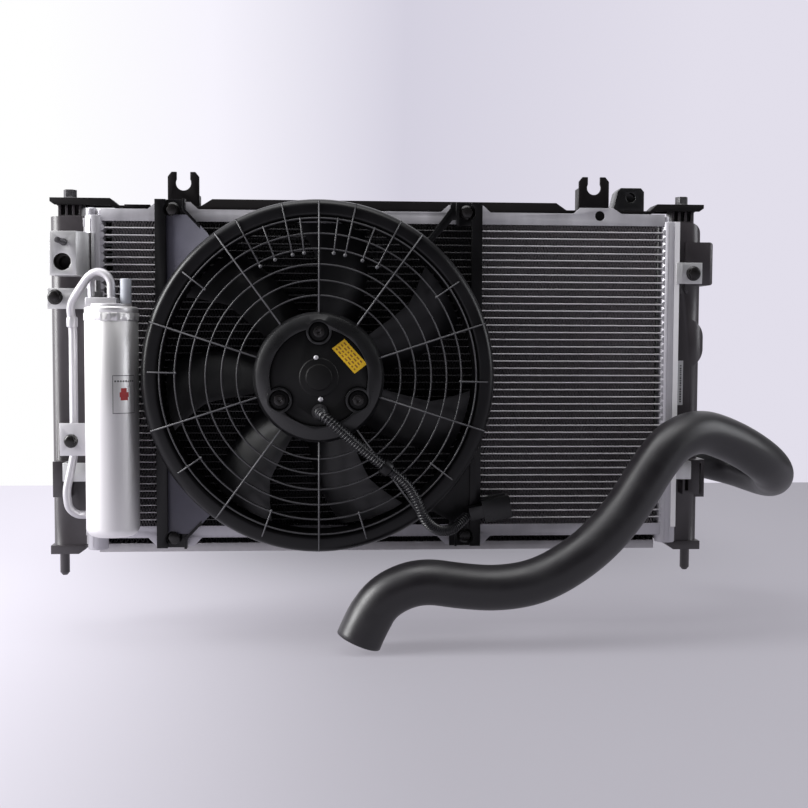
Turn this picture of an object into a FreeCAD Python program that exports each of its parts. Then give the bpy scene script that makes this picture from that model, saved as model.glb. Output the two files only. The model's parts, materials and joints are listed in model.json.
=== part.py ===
import FreeCAD, Part
import math
import os

from FreeCAD import Vector

# Car radiator with its air-conditioning condenser, drier, electric pusher fan and lower hose.
# Millimetres. X runs across the core, Y from the front (condenser) side to the engine side, Z up.
# The origin is midway between the two lower pegs, at the shoulder they stand on.

# ---------------------------------------------------------------- driving dimensions
# Radiator core
RAD_HALF = 298.0              # half the core width, to the header plates
RAD_DEPTH = 26.0
RAD_BOTTOM = 9.4
RAD_PITCH = 9.0
RAD_TUBE = 1.8
RAD_TUBES = 37
RAD_FIN = RAD_PITCH - RAD_TUBE
RAD_TOP = RAD_BOTTOM + RAD_FIN + RAD_TUBES * RAD_PITCH
SHEET = 1.5

# Side tanks
PLATE_THICK = 2.0
PLATE_HALF = 24.0
CRIMP = 1.6
GASKET = 2.0
TANK_IN = RAD_HALF + PLATE_THICK + GASKET
TANK_FOOT = 5.5
TANK_OUT = 346.0
TANK_HALF = 19.5
TANK_ROUND = 13.0
TANK_LOW = 9.0
TANK_HIGH = 353.0
WALL = 2.8
PEG_X = 337.25
PEG_R = 5.0
PEG_LENGTH = 26.0
NECK_X = 327.8
NECK_TOP = 371.0

# Condenser
CON_Y = -38.0
CON_HALF = 8.0
CON_FRONT = CON_Y - CON_HALF
CON_BACK = CON_Y + CON_HALF
CON_PITCH = 7.5
CON_TUBE = 1.5
CON_TUBES = 41
CON_FIN = CON_PITCH - CON_TUBE
CON_LOW_TUBE = 39.5
CON_BOTTOM = CON_LOW_TUBE - CON_TUBE / 2 - CON_FIN
CON_TOP = CON_LOW_TUBE + (CON_TUBES - 1) * CON_PITCH + CON_TUBE / 2 + CON_FIN
HEADER_R = 10.5
HEADER_WALL = 1.6
LEFT_HEADER_X = -294.5
RIGHT_HEADER_X = 303.0
FIN_LEFT = -276.3
FIN_RIGHT = 287.7
AC_PORT = (-321.5, 303.0)
AC_STUD = (-320.0, 322.5)
AC_STUD_LENGTH = 28.0
AC_STUD_ROOT = 3.4

# Crossbar over the core
BAR_HALF = 14.0
BAR_SHEET = 2.0
BAR_LOW = 365.5
BAR_HIGH = 373.0

# Fan, shroud and grille
FAN_X = -65.8
FAN_Z = 189.2
SHROUD_BACK = -49.5
SHROUD_SKIN = 2.5
SHROUD_FACE = SHROUD_BACK - SHROUD_SKIN
SHROUD_LEFT = -232.0
SHROUD_RIGHT = 102.0
SHROUD_LOW = 11.5
SHROUD_HIGH = 367.7
STRIP = 11.0
STRIP_FACE = -57.0
RING_OUT = 175.5
RING_IN = 158.0
RING_FRONT = -101.0
FOOT_X = (-214.6, 86.2)
FOOT_Z = (22.0, 357.4)
RING_OUTSIDE = [
    (RING_OUT - 2, SHROUD_BACK), (RING_OUT, SHROUD_BACK - 10), (RING_OUT, -91), (RING_OUT - 1.5, -96),
    (RING_OUT - 4.5, -99.6), (RING_OUT - 8, RING_FRONT), (RING_IN + 3.5, -100.4), (RING_IN + 1.2, -98.5),
    (RING_IN, -95), (RING_IN, -57),
]
RING_HOLLOW = [
    (RING_IN + 2.2, -57), (RING_IN + 2.2, -95), (RING_IN + 4, -97.6), (RING_OUT - 8, -98.4),
    (RING_OUT - 4.6, -95.4), (RING_OUT - 2.4, -91), (RING_OUT - 4.2, SHROUD_BACK),
]
GRILLE_RINGS = (80.5, 95.4, 111.1, 126.5, 141.4, 156.5)
SPOKES = 10
HUB_R = 64.5
HUB_FRONT = -116.5
MOTOR_FACE_R = 47.8
MOTOR_FRONT = -112.0
SCREW_CIRCLE = 44.6
SCREW_ANGLES = (90.0, 210.0, 330.0)
BLADES = 7
BLADE_TIP = 153.0
FIRST_BLADE = 72.7            # degrees up from +X
BLADE_STATIONS = (            # radius, chord, pitch in degrees, lead over the root in degrees
    (50, 48, 40.0, 0.0), (80, 55.6, 33.0, 1.8), (115, 57, 25.0, 5.0), (135, 64.7, 22.0, 9.0),
    (168, 77, 18.5, 15.5),
)
CUP_R = 57.0
SHAFT_R = 4.0
BUSH_GAP = 0.08               # radial clearance of the shaft in its bushes

# Receiver-drier
DRIER_X = -272.0
DRIER_Y = -79.0
DRIER_R = 26.3
DRIER_LOW = 29.0
DRIER_TOP = 258.0
PIPE_R = 4.2
PIPE_ROUTE = (
    (-272, -79, 264), (-272, -79, 283), (-277, -78, 290.5), (-286, -76, 293.5), (-295, -73, 289),
    (-307, -66, 274), (-317, -58, 260), (-315, -54, 238), (-315, -54, 109), (-319, -54, 90),
    (-323.5, -54, 70), (-321.5, -52.5, 53), (-314, -49, 45.5), (-303, -45, 45),
)

# Lower hose: outer and inner radius, and its route from the outlet stub to its free end
HOSE_R = 23.0
HOSE_BORE = 19.0
STUB_R = 18.8
STUB_END = 62.0
BEAD_LENGTH = 8.0
OUTLET = (331.0, 95.0)
INLET = (-331.0, 312.0)
HOSE_ROUTE = (
    (331, 34, 95), (331, 72, 95), (344, 100, 93), (371, 116, 89), (401, 116, 83), (427, 101, 77),
    (441, 74, 72), (446, 42, 71), (441, 10, 77), (422, -20, 92), (394, -41, 109), (362, -57, 124),
    (328, -73, 134), (296, -87, 124), (272, -96, 97), (250, -104, 64), (222, -111, 31), (190, -117, 6),
    (152, -120, -14), (112, -121, -20), (74, -121, -17), (36, -121, -11), (4, -122, -22), (-15, -122, -42),
    (-27, -122, -71),
)

# Fan lead: conduit radius, and its route from the motor to the connector
LEAD_R = 5.5
LEAD_ROUTE = (
    (-65, -113, 155), (-65, -123, 155), (-60, -130, 151), (-49, -131, 142), (-29, -127, 124), (0, -123, 101),
    (20, -121, 86), (31, -120, 68), (38, -116, 49), (52, -102, 35), (68, -84, 32), (80, -71, 39),
    (89, -67, 47),
)
CONNECTOR_TILT = 11.8


# ---------------------------------------------------------------- helpers
def box(x0, x1, y0, y1, z0, z1):
    """Block between two corners, given in any order along each axis."""
    low = Vector(min(x0, x1), min(y0, y1), min(z0, z1))
    return Part.makeBox(abs(x1 - x0), abs(y1 - y0), abs(z1 - z0), low)


def rod(radius, start, end):
    """Round bar from one point to another."""
    axis = Vector(*end) - Vector(*start)
    return Part.makeCylinder(radius, axis.Length, Vector(*start), axis)


def rod_y(radius, x, z, y0, y1):
    """Round bar along Y."""
    return rod(radius, (x, min(y0, y1), z), (x, max(y0, y1), z))


def rod_z(radius, x, y, z0, z1):
    """Round bar along Z."""
    return rod(radius, (x, y, min(z0, z1)), (x, y, max(z0, z1)))


def front_plate(outline, y0, y1):
    """Sheet whose outline is given in X and Z, thick along Y."""
    corners = [Vector(x, min(y0, y1), z) for x, z in outline]
    face = Part.Face(Part.makePolygon(corners + corners[:1]))
    return face.extrude(Vector(0, abs(y1 - y0), 0))


def plan_prism(outline, z0, z1):
    """Column whose outline is given in X and Y."""
    corners = [Vector(x, y, z0) for x, y in outline]
    face = Part.Face(Part.makePolygon(corners + corners[:1]))
    return face.extrude(Vector(0, 0, z1 - z0))


def fuse(shapes):
    """One solid from overlapping shapes."""
    first = shapes[0]
    return first.fuse(list(shapes[1:])).removeSplitter() if len(shapes) > 1 else first


def cut(shape, tools):
    """The shape without the tools."""
    return shape.cut(list(tools))


def mirrored(shape, side):
    """The shape as modelled on the right (side 1), or mirrored to the left (side -1)."""
    return shape if side > 0 else shape.mirror(Vector(0, 0, 0), Vector(1, 0, 0))


def hexagon_y(flats, x, z, y0, y1):
    """Hexagonal bar along Y."""
    r = flats / math.sqrt(3)
    return front_plate([polar(x, z, r, a) for a in range(0, 360, 60)], y0, y1)


def hexagon_z(flats, x, y, z0, z1):
    """Hexagonal bar along Z."""
    r = flats / math.sqrt(3)
    return plan_prism([polar(x, y, r, a) for a in range(0, 360, 60)], z0, z1)


def flange_bolt_y(x, z, seat, length, flats=10.0, radius=3.0, head=5.5):
    """Flange bolt whose head stands in front of the seat and whose shank runs back from it."""
    flange = Part.makeCone(flats * 0.58, flats * 0.78, 1.6, Vector(x, seat - 1.6, z), Vector(0, 1, 0))
    shank = rod_y(radius, x, z, seat, seat + length)
    return fuse([hexagon_y(flats, x, z, seat - head, seat - 1.0), flange, shank])


def revolved(profile, x, z):
    """Ring turned about an axis along Y through (x, z); the profile is radius and Y."""
    corners = [Vector(x + r, y, z) for r, y in profile]
    face = Part.Face(Part.makePolygon(corners + corners[:1]))
    return face.revolve(Vector(x, 0, z), Vector(0, 1, 0), 360)


def polar(x, z, radius, degrees):
    """Point on a circle about (x, z), counted up from the first axis towards the second."""
    angle = math.radians(degrees)
    return x + radius * math.cos(angle), z + radius * math.sin(angle)


def corner_arcs(route):
    """Radius, tangent length and corner of each turn of a route."""
    points = [Vector(*p) for p in route]
    turns = []
    for before, corner, after in zip(points, points[1:], points[2:]):
        run_in = corner - before
        run_out = after - corner
        half_turn = run_in.getAngle(run_out) / 2
        reach = 0.45 * min(run_in.Length, run_out.Length)
        turns.append((reach / math.tan(half_turn), reach, corner, run_in.normalize(), run_out.normalize()))
    return turns


def route_wire(route):
    """Straight runs joined by tangent arcs."""
    here = Vector(*route[0])
    edges = []
    for radius, reach, corner, into, out in corner_arcs(route):
        start = corner - into * reach
        end = corner + out * reach
        bisector = (out - into).normalize()
        half_turn = into.getAngle(out) / 2
        middle = corner + bisector * (radius / math.cos(half_turn) - radius)
        edges.append(Part.LineSegment(here, start).toShape())
        edges.append(Part.Arc(start, middle, end).toShape())
        here = end
    edges.append(Part.LineSegment(here, Vector(*route[-1])).toShape())
    return Part.Wire(edges)


def swept(route, radius):
    """Round solid that follows the route."""
    path = route_wire(route)
    start = Vector(*route[0])
    heading = Vector(*route[1]) - start
    circle = Part.Wire(Part.Circle(start, heading, radius).toShape())
    solid = path.makePipeShell([circle], True, False)
    expected = math.pi * radius ** 2 * path.Length
    print("swept r %.1f length %.1f volume ratio %.4f" % (radius, path.Length, solid.Volume / expected))
    return solid


def save(name, *solids):
    """Write one node, as one solid or as a group of separate solids."""
    shape = solids[0] if len(solids) == 1 else Part.makeCompound(list(solids))
    if not shape.isValid():
        print("not valid:", name)
    if len(shape.Solids) != max(1, len(solids)):
        print(name, "has", len(shape.Solids), "solids from", len(solids))
    shape.exportStep("parts/" + name + ".step")


# ---------------------------------------------------------------- radiator core and tanks
def radiator_tube_boxes():
    """Flat water tubes, which pass through the header plates into the tanks."""
    end = TANK_IN + 1.0
    low = RAD_BOTTOM + RAD_FIN
    half = RAD_DEPTH / 2
    heights = [low + i * RAD_PITCH for i in range(RAD_TUBES)]
    return [box(-end, end, -half, half, z, z + RAD_TUBE) for z in heights]


def radiator_fin_rows():
    """One fin row under each tube, and one over the last."""
    half = RAD_DEPTH / 2
    rows = []
    for i in range(RAD_TUBES + 1):
        low = RAD_BOTTOM + i * RAD_PITCH
        rows.append(box(-RAD_HALF, RAD_HALF, -half, half, low, low + RAD_FIN))
    return rows


def side_channel(low, high, flange_low, flange_high):
    """Core side plate: a web against the fins, with a flange along each edge."""
    half = RAD_DEPTH / 2 + 1.0
    web = box(-RAD_HALF, RAD_HALF, -half, half, low, high)
    front = box(-RAD_HALF, RAD_HALF, -half, -half + SHEET, flange_low, flange_high)
    back = box(-RAD_HALF, RAD_HALF, half - SHEET, half, flange_low, flange_high)
    return fuse([web, front, back])


def header_plate(side, tubes):
    """Aluminium plate that the tubes are brazed into, folded round the foot of the tank."""
    low = TANK_LOW + 2.0
    high = TANK_HIGH - 2.0
    lip_in = TANK_IN + TANK_FOOT
    lip_out = lip_in + CRIMP
    tray = box(RAD_HALF, lip_out, -PLATE_HALF, PLATE_HALF, low, high)
    inner = PLATE_HALF - CRIMP
    hollow = box(RAD_HALF + PLATE_THICK, lip_in, -inner, inner, low + CRIMP, high - CRIMP)
    mouth = box(lip_in, lip_out, -TANK_HALF, TANK_HALF, low + CRIMP, high - CRIMP)
    plate = cut(tray, [hollow, mouth])
    return cut(mirrored(plate, side), tubes)


def tank_gasket(side):
    """Rubber frame squeezed between the header plate and the foot of the tank."""
    inner = RAD_HALF + PLATE_THICK
    low = TANK_LOW + 5.0
    high = TANK_HIGH - 5.0
    frame = box(inner, TANK_IN, -21, 21, low, high)
    return mirrored(cut(frame, [box(inner, TANK_IN, -17.5, 17.5, low + 2.2, high - 2.2)]), side)


def rounded_column(x0, x1, half, radius, z0, z1):
    """Column with a flat inner side and two rounded outer edges."""
    block = box(x0, x1, -half, half, z0, z1)
    upright = [e for e in block.Edges if abs(e.BoundBox.ZLength - (z1 - z0)) < 0.01]
    return block.makeFillet(radius, [e for e in upright if abs(e.BoundBox.XMin - x1) < 0.01])


def tank_shell(extras):
    """Right-hand tank: hollow column with its crimped foot, bottom flange, peg and top neck."""
    lip_out = TANK_IN + TANK_FOOT + CRIMP
    body = rounded_column(lip_out - 1.0, TANK_OUT, TANK_HALF, TANK_ROUND, TANK_LOW, TANK_HIGH)
    body = body.cut(box(lip_out - 1.0, lip_out, -30, 30, 0, 400))
    root = box(TANK_IN, lip_out, -TANK_HALF, TANK_HALF, TANK_LOW + 3.6, TANK_HIGH - 3.6)
    inner = PLATE_HALF - CRIMP
    foot = box(TANK_IN, TANK_IN + TANK_FOOT, -inner, inner, TANK_LOW + 3.6, TANK_HIGH - 3.6)
    flange = front_plate([(311, TANK_LOW), (347, TANK_LOW), (347, 0), (318, 0), (311, 5)], -22, 22)
    peg = rod_z(PEG_R, PEG_X, 0, -PEG_LENGTH + 3, 0)
    tip = Part.makeCone(PEG_R - 2.4, PEG_R, 3, Vector(PEG_X, 0, -PEG_LENGTH), Vector(0, 0, 1))
    neck = box(NECK_X - 14.0, NECK_X + 10.0, -11, 11, TANK_HIGH, NECK_TOP)
    shell = fuse([body, root, foot, flange, peg, tip, neck] + extras)
    half = TANK_HALF - WALL
    end = TANK_OUT - WALL
    cavity = rounded_column(TANK_IN, end, half, TANK_ROUND - WALL, TANK_LOW + 5.5, TANK_HIGH - 5.0)
    pocket_x = (NECK_X - 11.5, NECK_X - 4.5, NECK_X + 2.5)
    pockets = [box(x, x + 4.5, -11, -4, TANK_HIGH + 2, NECK_TOP) for x in pocket_x]
    insert_hole = rod_z(5.0, NECK_X, 2, NECK_TOP - 14, NECK_TOP)
    return cut(shell, [cavity, insert_hole] + pockets)


def bracket_boss(x, z):
    """Screw boss that carries a condenser bracket in front of the tank."""
    return rod_y(8.0, x, z, -CRIMP - TANK_HALF + 3.0, CON_FRONT + 3.0)


def hook_lug():
    """Pocketed lug low on the tank, which the lower condenser bracket hooks into."""
    lug = box(323, 341, -36, -TANK_HALF + 2.0, 62, 99)
    return lug.cut(box(325.4, 329.1, -36, -25, 66, 99))


def hose_stub(x, z):
    """Hose stub on the engine side, with a bead near its end."""
    neck = STUB_R - 0.6
    stub = rod_y(neck, x, z, TANK_HALF - 2.0, STUB_END)
    root = rod_y(STUB_R + 1.4, x, z, TANK_HALF - 2.0, 31)
    bead_end = STUB_END - 2.0
    bead = rod_y(STUB_R, x, z, bead_end - BEAD_LENGTH, bead_end)
    lead_in = Part.makeCone(STUB_R, neck, 2.0, Vector(x, bead_end, z), Vector(0, 1, 0))
    return fuse([stub, root, bead, lead_in]), rod_y(STUB_R - 3.4, x, z, 0, STUB_END)


def left_tank():
    """Inlet tank; modelled on the right and mirrored."""
    stub, bore = hose_stub(-INLET[0], INLET[1])
    shell = tank_shell([bracket_boss(334.3, 268.5), hook_lug(), stub])
    screw = rod_y(3.0, 334.3, 268.5, -30, CON_FRONT + 3.0)
    return mirrored(cut(shell, [bore, screw]), -1)


def right_tank():
    """Outlet tank, with a boss high on its outer side and a slotted ear low down."""
    stub, bore = hose_stub(OUTLET[0], OUTLET[1])
    boss = box(326, 357, -22, 22, 286, 332)
    boss = boss.makeFillet(4.5, [e for e in boss.Edges if e.BoundBox.XMin > 357 - 0.01])
    swell = rod_y(28.1, 322.9, 224, -TANK_HALF, TANK_HALF)
    bulge = rounded_column(326, 351, TANK_HALF, TANK_ROUND, 200, 250).common(swell)
    ear = box(340, 354, -12, 12, 56, 97)
    shell = tank_shell([bracket_boss(327.7, 297.3), hook_lug(), stub, boss, bulge, ear])
    screw = rod_y(3.0, 327.7, 297.3, -30, CON_FRONT + 3.0)
    slot = box(347.5, 350.5, -12, 12, 60, 93)
    shoulder = box(TANK_OUT - 15, TANK_OUT + 5, -30, 30, TANK_HIGH - 15, TANK_HIGH)
    round_off = rod_y(15, TANK_OUT - 15, TANK_HIGH - 15, -30, 30)
    neck_guard = box(NECK_X - 20, NECK_X + 10.0, -11, 11, TANK_HIGH - 15, TANK_HIGH + 1)
    return cut(shell, [bore, screw, slot, cut(shoulder, [round_off, neck_guard])])


# ---------------------------------------------------------------- crossbar
def bar_outline(drop):
    """Front view of the crossbar: raised over the tanks and the middle, deep behind the spare hole."""
    return [
        (-346, 369 - drop), (-346, BAR_HIGH - drop), (-284, BAR_HIGH - drop), (-275, BAR_LOW - drop),
        (-190, BAR_LOW - drop), (-178, BAR_HIGH - drop), (187, BAR_HIGH - drop), (198, BAR_LOW - drop),
        (289, BAR_LOW - drop), (297, BAR_HIGH - drop), (348, BAR_HIGH - drop), (348, 369 - drop),
        (343, 365.5 - drop), (296, 365.5 - drop), (289, 361.5 - drop), (262, 361.5 - drop),
        (256, 353.5 - drop), (200, 353.5 - drop), (194, 361.5 - drop), (-276, 361.5 - drop),
        (-284, 365.5 - drop), (-341, 365.5 - drop),
    ]


def upper_crossbar():
    """Pressed steel channel, open below, bolted down on both tanks."""
    outer = front_plate(bar_outline(0), -BAR_HALF, BAR_HALF)
    inner = front_plate(bar_outline(BAR_SHEET), -BAR_HALF + BAR_SHEET, BAR_HALF - BAR_SHEET)
    below = box(-400, 400, -BAR_HALF + BAR_SHEET, BAR_HALF - BAR_SHEET, 340, 363.5)
    half = BAR_HALF - BAR_SHEET
    ends = [box(s * 330, s * 350, -half, half, 340, BAR_HIGH - BAR_SHEET) for s in (-1, 1)]
    holes = [rod_z(3.2, s * NECK_X, 2, 360, 380) for s in (-1, 1)]
    return cut(outer, [inner, below] + ends + holes)


def fork_bracket(x, z, radius, side_flange):
    """Steel fork: an open slot for a rubber-bushed pin, on a foot welded to the crossbar."""
    half = 16.4
    top = z + 11.5
    outline = [
        (x - half, BAR_LOW), (x + half, BAR_LOW), (x + half, top - 5), (x + half - 4, top),
        (x - half + 4, top), (x - half, top - 5),
    ]
    front = front_plate(outline, -12, -9)
    foot = box(x - half, x + half, -9, 11, BAR_LOW, BAR_LOW + 3)
    if side_flange:
        side = box(x - half, x - half + 3, -9, 8, BAR_LOW, z)
    else:
        side = box(x + half - 3, x + half, -9, 8, BAR_LOW, z - 12)
    slot = rod_y(radius, x, z, -20, 0)
    mouth = box(x - radius + 0.9, x + radius - 0.9, -20, 0, z, top + 1)
    return cut(fuse([front, foot, side]), [slot, mouth])


def bar_block():
    """Moulded stop block on the crossbar, with a round recess in its face."""
    outline = [(248.5, BAR_LOW), (282.5, BAR_LOW), (282.5, 386), (279, 390), (257, 390), (253.5, 386)]
    block = front_plate(outline, -13, 12)
    return cut(block, [rod_y(5.0, 268, 379.5, -13, -6)])


def crossbar_bolt(side):
    """Flange bolt that goes down through the crossbar into a tank insert."""
    x = side * NECK_X
    flange = Part.makeCone(8.6, 6.6, 2.0, Vector(x, 2, BAR_HIGH), Vector(0, 0, 1))
    head = hexagon_z(12, x, 2, BAR_HIGH + 1.5, BAR_HIGH + 9.5)
    return fuse([rod_z(3.0, x, 2, NECK_TOP - 12, BAR_HIGH), flange, head])


def tank_insert(side):
    """Threaded insert moulded into the top of a tank."""
    x = side * NECK_X
    return cut(rod_z(5.0, x, 2, NECK_TOP - 14, NECK_TOP), [rod_z(3.0, x, 2, NECK_TOP - 12, NECK_TOP)])


# ---------------------------------------------------------------- condenser
def condenser_tube_boxes():
    """Flat refrigerant tubes, from inside one header to inside the other."""
    rows = []
    for i in range(CON_TUBES):
        z = CON_LOW_TUBE + i * CON_PITCH
        low = z - CON_TUBE / 2
        rows.append(box(LEFT_HEADER_X + 5, RIGHT_HEADER_X - 5, CON_FRONT, CON_BACK, low, low + CON_TUBE))
    return rows


def condenser_fin_rows():
    """One fin row under each tube, and one over the last."""
    rows = []
    for i in range(CON_TUBES + 1):
        low = CON_BOTTOM + i * CON_PITCH
        rows.append(box(FIN_LEFT, FIN_RIGHT, CON_FRONT, CON_BACK, low, low + CON_FIN))
    return rows


def header_pipe(x, z0, z1, tubes):
    """Round header pipe, slotted for the tubes."""
    pipe = cut(rod_z(HEADER_R, x, CON_Y, z0, z1), [rod_z(HEADER_R - HEADER_WALL, x, CON_Y, z0 + 1, z1 - 1)])
    return cut(pipe, tubes)


def condenser_plate(outline_edge, web_low, web_high, back_low, back_high):
    """Side plate of the condenser, fitted between the two header pipes."""
    front = front_plate(outline_edge, CON_FRONT, CON_FRONT + SHEET)
    web = box(-290, 299, CON_FRONT, CON_BACK, web_low, web_high)
    back = box(-290, 299, CON_BACK - SHEET, CON_BACK, back_low, back_high)
    pipes = [rod_z(HEADER_R, x, CON_Y, 0, 400) for x in (LEFT_HEADER_X, RIGHT_HEADER_X)]
    feet = [(x, z) for x in FOOT_X for z in FOOT_Z]
    holes = [rod_y(3.2, x, z, CON_FRONT - 1, CON_FRONT + SHEET + 1) for x, z in feet]
    return cut(fuse([front, web, back]), pipes + holes)


def condenser_top_plate():
    """Top side plate, with two raised tabs behind the fan feet and one with a spare hole."""
    edge = [
        (-290, CON_TOP), (299, CON_TOP), (299, 358.7), (250, 358.7), (241, 364.6), (206, 364.6),
        (199, 358.7), (112, 358.7), (104, 366), (68, 366), (60, 358.7), (-189, 358.7), (-197, 366),
        (-232, 366), (-240, 358.7), (-290, 358.7),
    ]
    plate = condenser_plate(edge, CON_TOP, CON_TOP + SHEET, CON_TOP, 350.5)
    return cut(plate, [rod_y(5.2, 227, 356.4, CON_FRONT - 1, CON_FRONT + SHEET + 1)])


def condenser_bottom_plate():
    """Bottom side plate, with two tabs behind the fan feet."""
    edge = [
        (-290, CON_BOTTOM), (-290, 24), (-286, 20.5), (-242, 20.5), (-234, 12), (-195, 12),
        (-187, 20.5), (58, 20.5), (66, 12), (106, 12), (114, 20.5), (295, 20.5), (299, 24),
        (299, CON_BOTTOM),
    ]
    return condenser_plate(edge, CON_BOTTOM - SHEET, CON_BOTTOM, 24, CON_BOTTOM)


def header_cap(x, radius, z0, z1):
    """Domed plug in the end of a header pipe."""
    cap = rod_z(radius, x, CON_Y, z0, z1)
    return cap.makeFillet(2.0, [e for e in cap.Edges if e.BoundBox.ZMin > z1 - 0.01])


def upper_bracket(side, tip, screw_x, z0, z1, screw_z):
    """Aluminium plate from a header pipe to a screw boss on the tank."""
    header = abs(LEFT_HEADER_X if side < 0 else RIGHT_HEADER_X)
    plate = mirrored(box(header, tip, CON_FRONT, CON_FRONT + 3, z0, z1), side)
    pipe = rod_z(HEADER_R, side * header, CON_Y, 0, 400)
    return cut(plate, [pipe, rod_y(3.0, side * screw_x, screw_z, CON_FRONT - 1, CON_FRONT + 4)])


def lower_bracket(side):
    """Aluminium angle from a header pipe, hooked back into the lug on the tank."""
    header = abs(LEFT_HEADER_X if side < 0 else RIGHT_HEADER_X)
    angle = fuse([box(header, 328.6, -46.5, -43.5, 79.5, 98.6), box(326, 328.6, -46.5, -26, 79.5, 98.6)])
    return cut(mirrored(angle, side), [rod_z(HEADER_R, side * header, CON_Y, 0, 400)])


def right_header_strip():
    """Flat edge strip along the right header pipe."""
    strip = box(RIGHT_HEADER_X + 3.5, RIGHT_HEADER_X + 9, -48.5, -46.5, 29, 351)
    return cut(strip, [rod_z(HEADER_R, RIGHT_HEADER_X, CON_Y, 0, 400)])


def ac_connection_block():
    """Machined block on the left header, with the refrigerant port and a clamp stud."""
    outline = [
        (-334, -70), (-308, -70), (-302, -62), (-299, -54), (-294, -50), (-290, -40), (-312, -36),
        (-334, -44),
    ]
    block = plan_prism(outline, 289.5, 333.5)
    port = rod_y(8.6, AC_PORT[0], AC_PORT[1], -70, -58)
    throat = rod_y(6.0, AC_PORT[0], AC_PORT[1], -58, -48)
    stud = rod_y(AC_STUD_ROOT, AC_STUD[0], AC_STUD[1], -70, -58)
    return cut(block, [rod_z(HEADER_R, LEFT_HEADER_X, CON_Y, 0, 400), port, throat, stud])


# ---------------------------------------------------------------- receiver-drier
def drier_bottle():
    """Aluminium can with a rounded base."""
    can = rod_z(DRIER_R, DRIER_X, DRIER_Y, DRIER_LOW, DRIER_TOP)
    can = can.makeFillet(9.0, [e for e in can.Edges if e.BoundBox.ZMax < DRIER_LOW + 0.01])
    inside = rod_z(DRIER_R - 2.0, DRIER_X, DRIER_Y, DRIER_LOW + 5, DRIER_TOP - 4)
    neck = rod_z(12.0, DRIER_X, DRIER_Y, DRIER_TOP - 4, DRIER_TOP)
    return cut(can, [inside, neck])


def drier_head():
    """Turned head brazed into the can, with a flange for the pipe clamp on its left."""
    plug = rod_z(12.0, DRIER_X, DRIER_Y, DRIER_TOP - 4, DRIER_TOP)
    flange = rod_z(20.0, DRIER_X, DRIER_Y, DRIER_TOP, DRIER_TOP + 3)
    ledge = box(-296, -266, -88, -70, DRIER_TOP, DRIER_TOP + 9)
    stud = rod_z(3.0, -285.3, DRIER_Y, DRIER_TOP + 3, DRIER_TOP + 10)
    line = rod_z(PIPE_R, *PIPE_ROUTE[0][:2], PIPE_ROUTE[0][2], DRIER_TOP + 10)
    pickup = rod_z(3.2, DRIER_X + 7.5, DRIER_Y, DRIER_TOP - 5, DRIER_TOP + 2)
    return cut(fuse([plug, flange, ledge]), [stud, line, pickup])


def drier_pipe():
    """Liquid line from the drier over to the header's lower chamber."""
    pipe = swept(PIPE_ROUTE, PIPE_R)
    return cut(pipe, [swept(PIPE_ROUTE, PIPE_R - 1.2), rod_z(HEADER_R, LEFT_HEADER_X, CON_Y, 0, 400)])


def drier_bracket(z0, z1):
    """Saddle between the left header pipe and the can."""
    saddle = box(-300, -284, -62, CON_FRONT, z0, z1)
    pipe = rod_z(HEADER_R, LEFT_HEADER_X, CON_Y, 0, 400)
    return cut(saddle, [pipe, rod_z(DRIER_R, DRIER_X, DRIER_Y, 0, 400)])


def pipe_clamp():
    """Bent plate that holds the liquid line against the can."""
    face = box(-327, -297, -66, -63, 108, 141)
    back = box(-301, -297, -63, -46, 108, 141)
    clamp = fuse([face, back])
    tools = [rod_z(HEADER_R, LEFT_HEADER_X, CON_Y, 0, 400), rod_z(DRIER_R, DRIER_X, DRIER_Y, 0, 400)]
    return cut(clamp, tools + [rod_y(3.0, -315.7, 123, -67, -62)])


# ---------------------------------------------------------------- shroud, grille and fan
def strip_channel(x0, x1):
    """Stiffening channel down one side of the shroud."""
    outer = box(x0, x1, STRIP_FACE, SHROUD_BACK, SHROUD_LOW, SHROUD_HIGH)
    return cut(outer, [box(x0 + 2, x1 - 2, STRIP_FACE + 2, SHROUD_BACK, SHROUD_LOW + 2, SHROUD_HIGH - 2)])


def bell_ring():
    """Fan ring: a channel-shaped hoop with a rolled front lip."""
    return revolved(RING_OUTSIDE + RING_HOLLOW, FAN_X, FAN_Z)


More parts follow.
